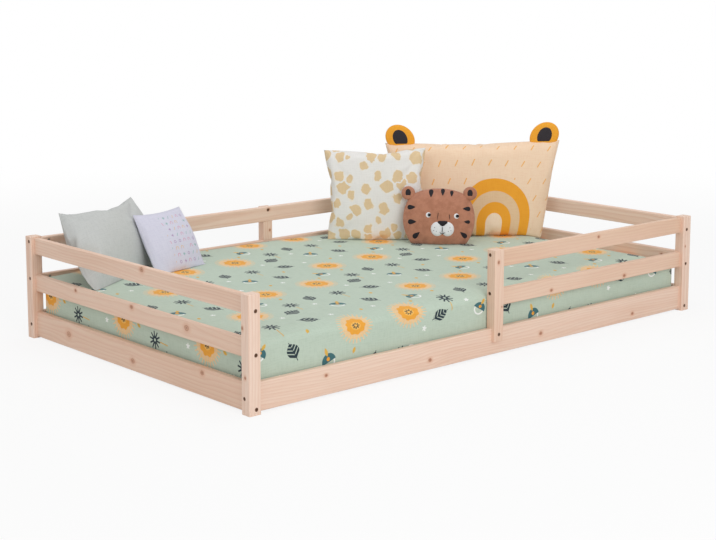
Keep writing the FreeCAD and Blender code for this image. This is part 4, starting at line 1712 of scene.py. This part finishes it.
class Cushions:
    """The five loose cushions."""

    def __init__(self, stitches: StitchRow) -> None:
        """Set out the cushions' covers, seats and finishes.

        Args:
            stitches: sews the rows of stitches.
        """
        self.stitches = stitches
        self.grey = Cushion(
            "cushion_grey", "grey_cotton",
            Cover(0.40, 0.39, 0.142, foot=0.4, bow=(0.028, 0.030), sag=0.027),
            Seat(End.LEFT, ((0.016, 0.338, 0), (0.380, 0.134, 0), (0.374, 0.003, 0.241),
                            (0.039, 0.068, 0.226))),
            Cotton("grey cotton", srgb(200, 202, 200), srgb(188, 191, 189)),
            stitch=Thread("grey thread", srgb(200, 202, 200), srgb(166, 168, 166)))
        self.white = Cushion(
            "cushion_white", "white_cotton", Cover(0.25, 0.245, 0.080, cell=0.006, sag=0.008),
            Seat(End.LEFT, ((0.305, 0.272, 0), (0.548, 0.222, 0), (0.520, 0.094, 0.203),
                            (0.291, 0.140, 0.201))),
            Cotton("white cotton", srgb(216, 215, 230), srgb(204, 203, 220), marked_print),
            stitch=Thread("white thread", srgb(236, 234, 238), srgb(200, 198, 206)))
        self.spotted = Cushion(
            "cushion_spotted", "spotted_cotton", Cover(0.40, 0.37, 0.112, taut=0.5),
            Seat(End.RIGHT, ((0.799, 0.118, 0), (0.500, 0.369, 0), (0.474, 0.338, 0.357),
                             (0.767, 0.058, 0.346))),
            Cotton("spotted cotton", srgb(236, 234, 231), srgb(222, 220, 217), spotted_print),
            stitch=Thread("cream thread", srgb(240, 234, 224), srgb(206, 198, 184)))
        self.eared = Cushion(
            "cushion_eared", "amber_cotton", Cover(0.64, 0.39, 0.120, taut=0.85, cell=0.0105),
            Seat(End.RIGHT, ((0.500, 0.245, 0), (0.097, 0.613, 0), (0.004, 0.618, 0.376),
                             (0.518, 0.145, 0.362))),
            Cotton("amber cotton", srgb(246, 218, 190), srgb(234, 202, 170), arches_print),
            stitch=Thread("peach thread", srgb(238, 206, 172), srgb(206, 170, 136)))
        self.plush = Cushion(
            "cushion_plush", "brown_plush",
            Cover(0.285, 0.215, 0.095, roundness=0.8, foot=0.8, settled=0.4, taut=0.0, bending=6.0,
                  cell=0.0065),
            Seat(End.RIGHT, ((0.636, 0.375, 0), (0.442, 0.577, 0), (0.410, 0.546, 0.212),
                             (0.604, 0.344, 0.212))),
            Plush("brown plush", srgb(192, 134, 108), srgb(156, 102, 78)), fill=0.85)

    def face_patches(self) -> list[Patch]:
        """The plush cushion's face and stripes, in metres from the cushion's middle.

        Returns:
            The patches, each above the one under it.
        """
        black = Thread("black felt", srgb(34, 32, 36), srgb(62, 58, 62))
        white = Thread("white felt", srgb(240, 240, 242), srgb(214, 214, 220))
        patches = []
        for side, u in (("left", -0.0045), ("right", 0.0355)):
            patches.append(Patch(f"plush_muzzle_{side}", oval, (u, -0.051), (0.0255, 0.0270), 0,
                                 0.0055, white))
        patches.append(Patch("plush_nose", snout, (0.0165, -0.029), (0.019, 0.0125), 0, 0.010,
                             black))
        strokes = ((0.0155, -0.053, 90, 0.012), (0.0090, -0.0665, -28, 0.0075),
                   (0.0220, -0.0665, 208, 0.0075), (-0.003, -0.003, 82, 0.015),
                   (0.043, -0.006, 98, 0.012))
        for number, (u, v, degrees, half) in enumerate(strokes):
            patches.append(Patch(f"plush_line_{number + 1}", wedge, (u, v), (half, 0.0020), degrees,
                                 0.008 if v < -0.01 else 0.0012, black))
        for number, (u, v) in enumerate(((-0.014, -0.046), (-0.018, -0.057), (-0.008, -0.060),
                                         (0.045, -0.046), (0.049, -0.057), (0.039, -0.060))):
            patches.append(Patch(f"plush_dot_{number + 1}", oval, (u, v), (0.0018, 0.0018), 0,
                                 0.0072, black))
        for number, (u, v) in enumerate(((-0.040, 0.002), (0.070, -0.001))):
            patches.append(Patch(f"plush_eye_white_{number + 1}", oval, (u, v), (0.0100, 0.0100), 0,
                                 0.0012, white))
            patches.append(Patch(f"plush_eye_{number + 1}", oval, (u + 0.0035, v), (0.0068, 0.0068),
                                 0, 0.0035, black))
        stripes = ((-0.031, 0.086, 90, 0.016), (0.015, 0.091, 90, 0.014), (0.050, 0.086, 90, 0.012),
                   (-0.108, 0.032, 180, 0.016), (-0.104, -0.024, 180, 0.017),
                   (-0.087, -0.074, 218, 0.017), (0.109, 0.028, 0, 0.015),
                   (0.111, -0.022, 0, 0.012), (0.098, -0.071, -38, 0.016))
        for number, (u, v, degrees, half) in enumerate(stripes):
            patches.append(Patch(f"plush_stripe_{number + 1}", wedge, (u, v), (half, half * 0.8),
                                 degrees, 0.0012, black))
        return patches

    def build(self) -> list[bpy.types.Object]:
        """Make every cushion with its ears, face and stitches.

        Returns:
            The pieces.
        """
        made: list[bpy.types.Object] = []
        for cushion in (self.grey, self.white, self.spotted, self.eared, self.plush):
            made += cushion.build(self.stitches)
            LOG.info("filled %s", cushion.node)
        amber = Cotton("ear cotton", srgb(242, 170, 54), srgb(228, 152, 44))
        made += RoundEars(self.eared, "cushion_eared_ears", 0.060, 0.020, 0.064, 0.018, amber,
                          Thread("dark felt", srgb(44, 40, 44), srgb(74, 70, 74)),
                          (0.029, 0.036)).build()
        brown = Plush("ear plush", srgb(192, 134, 108), srgb(156, 102, 78))
        made += RoundEars(self.plush, "cushion_plush_ears", 0.028, 0.022, 0.020, -0.020, brown,
                          Thread("ear felt", srgb(40, 36, 38), srgb(70, 64, 66)),
                          (0.0105, 0.0155)).build()
        made += [patch.lay(self.plush) for patch in self.face_patches()]
        return made


# ------------------------------------------------------------------------------ the studio
@dataclass(frozen=True)
class Lamp:
    """A square soft lamp that looks at the bed."""

    name: str
    place: Place
    size: float
    watts: float

    def build(self) -> None:
        """Hang the lamp."""
        light = bpy.data.lights.new(self.name, "AREA")
        light.shape = "SQUARE"
        light.size = self.size
        light.energy = self.watts
        lamp = bpy.data.objects.new(self.name, light)
        lamp.location = self.place
        aim = Vector((0.0, 0.0, 0.2)) - Vector(self.place)
        lamp.rotation_euler = aim.to_track_quat("-Z", "Y").to_euler()
        bpy.context.scene.collection.objects.link(lamp)


@dataclass
class Studio:
    """A white floor, soft lamps and the camera at the photograph's place."""

    camera_place: Vector = field(default_factory=lambda: Vector((-3.5812, -3.9847, 1.2892)))
    camera_turn: float = 0.7234
    camera_pitch: float = 0.1487
    focal_pixels: float = 1507.8
    shift_pixels: float = -80.0
    picture_width: int = 716
    sensor: float = 36.0
    light_level: float = 0.5
    floor_half: float = 12.0
    floor_level: float = 0.86
    near_glow: float = 0.84
    far_start: float = 3.2
    lamps: tuple[Lamp, ...] = (
        Lamp("key lamp", (-1.4, -5.4, 2.7), 3.6, 118.0),
        Lamp("fill lamp", (-7.2, -1.7, 3.5), 4.8, 72.0),
        Lamp("top lamp", (0.2, 0.6, 4.6), 4.0, 60.0),
    )

    def build(self) -> None:
        """Set up the camera, the lamps, the world and the floor."""
        self.camera()
        for lamp in self.lamps:
            lamp.build()
        self.world()
        self.floor()

    def camera(self) -> None:
        """The camera, pitched down a little and with a small shift."""
        lens = bpy.data.cameras.new("camera")
        lens.sensor_width = self.sensor
        lens.lens = self.focal_pixels / self.picture_width * self.sensor
        lens.shift_y = self.shift_pixels / self.picture_width
        camera = bpy.data.objects.new("camera", lens)
        camera.location = self.camera_place
        camera.rotation_euler = (math.pi / 2 - self.camera_pitch, 0.0, -self.camera_turn)
        bpy.context.scene.collection.objects.link(camera)
        bpy.context.scene.camera = camera

    def world(self) -> None:
        """White behind the bed and in its gloss, and a plain level of light elsewhere."""
        graph = Graph("studio", "worlds")
        level = graph.node("ShaderNodeMapRange", {"Value": graph.seen(), "To Min": self.light_level,
                                                  "To Max": 1.0})
        back = graph.node("ShaderNodeBackground", {"Color": (1.0, 1.0, 1.0, 1.0),
                                                   "Strength": Signal(graph, level.outputs[0])})
        graph.node("ShaderNodeOutputWorld", {"Surface": Signal(graph, back.outputs[0])})
        bpy.context.scene.world = graph.owner
        bpy.context.scene.view_settings.view_transform = "Standard"

    def floor(self) -> None:
        """A white floor that keeps the bed's soft shadow."""
        graph = Graph("white floor")
        x, y, _ = graph.place()
        far = radius_of((x, y)).above(self.far_start, 1.5)
        seen = graph.seen() * (far * (1.0 - self.near_glow) + self.near_glow)
        level = self.floor_level
        paint = graph.node("ShaderNodeBsdfDiffuse", {"Color": (level, level, level, 1.0)})
        glow = graph.node("ShaderNodeEmission", {"Color": (1.0, 1.0, 1.0, 1.0), "Strength": 1.0})
        both = graph.node("ShaderNodeMixShader", {0: seen, 1: Signal(graph, paint.outputs[0]),
                                                  2: Signal(graph, glow.outputs[0])})
        graph.node("ShaderNodeOutputMaterial", {"Surface": Signal(graph, both.outputs[0])})
        half = self.floor_half
        corners = [(-half, -half, 0), (half, -half, 0), (half, half, 0), (-half, half, 0)]
        floor = add_mesh("floor", corners, [[0, 1, 2, 3]], graph.owner)


def main() -> None:
    """Build the studio, dress the frame, and make the bedding and the cushions."""
    logging.basicConfig(level=logging.INFO, format="%(name)s %(message)s")
    Studio().build()
    for name in Woodwork().build() + Fittings().build():
        LOG.info("dressed %s", name)
    stitches = StitchRow(pitch=0.0055, length=0.0034, radius=0.0004)
    for piece in Bedding(stitches).build() + Cushions(stitches).build():
        LOG.info("made %s", piece.name)


if __name__ == "__main__":
    main()
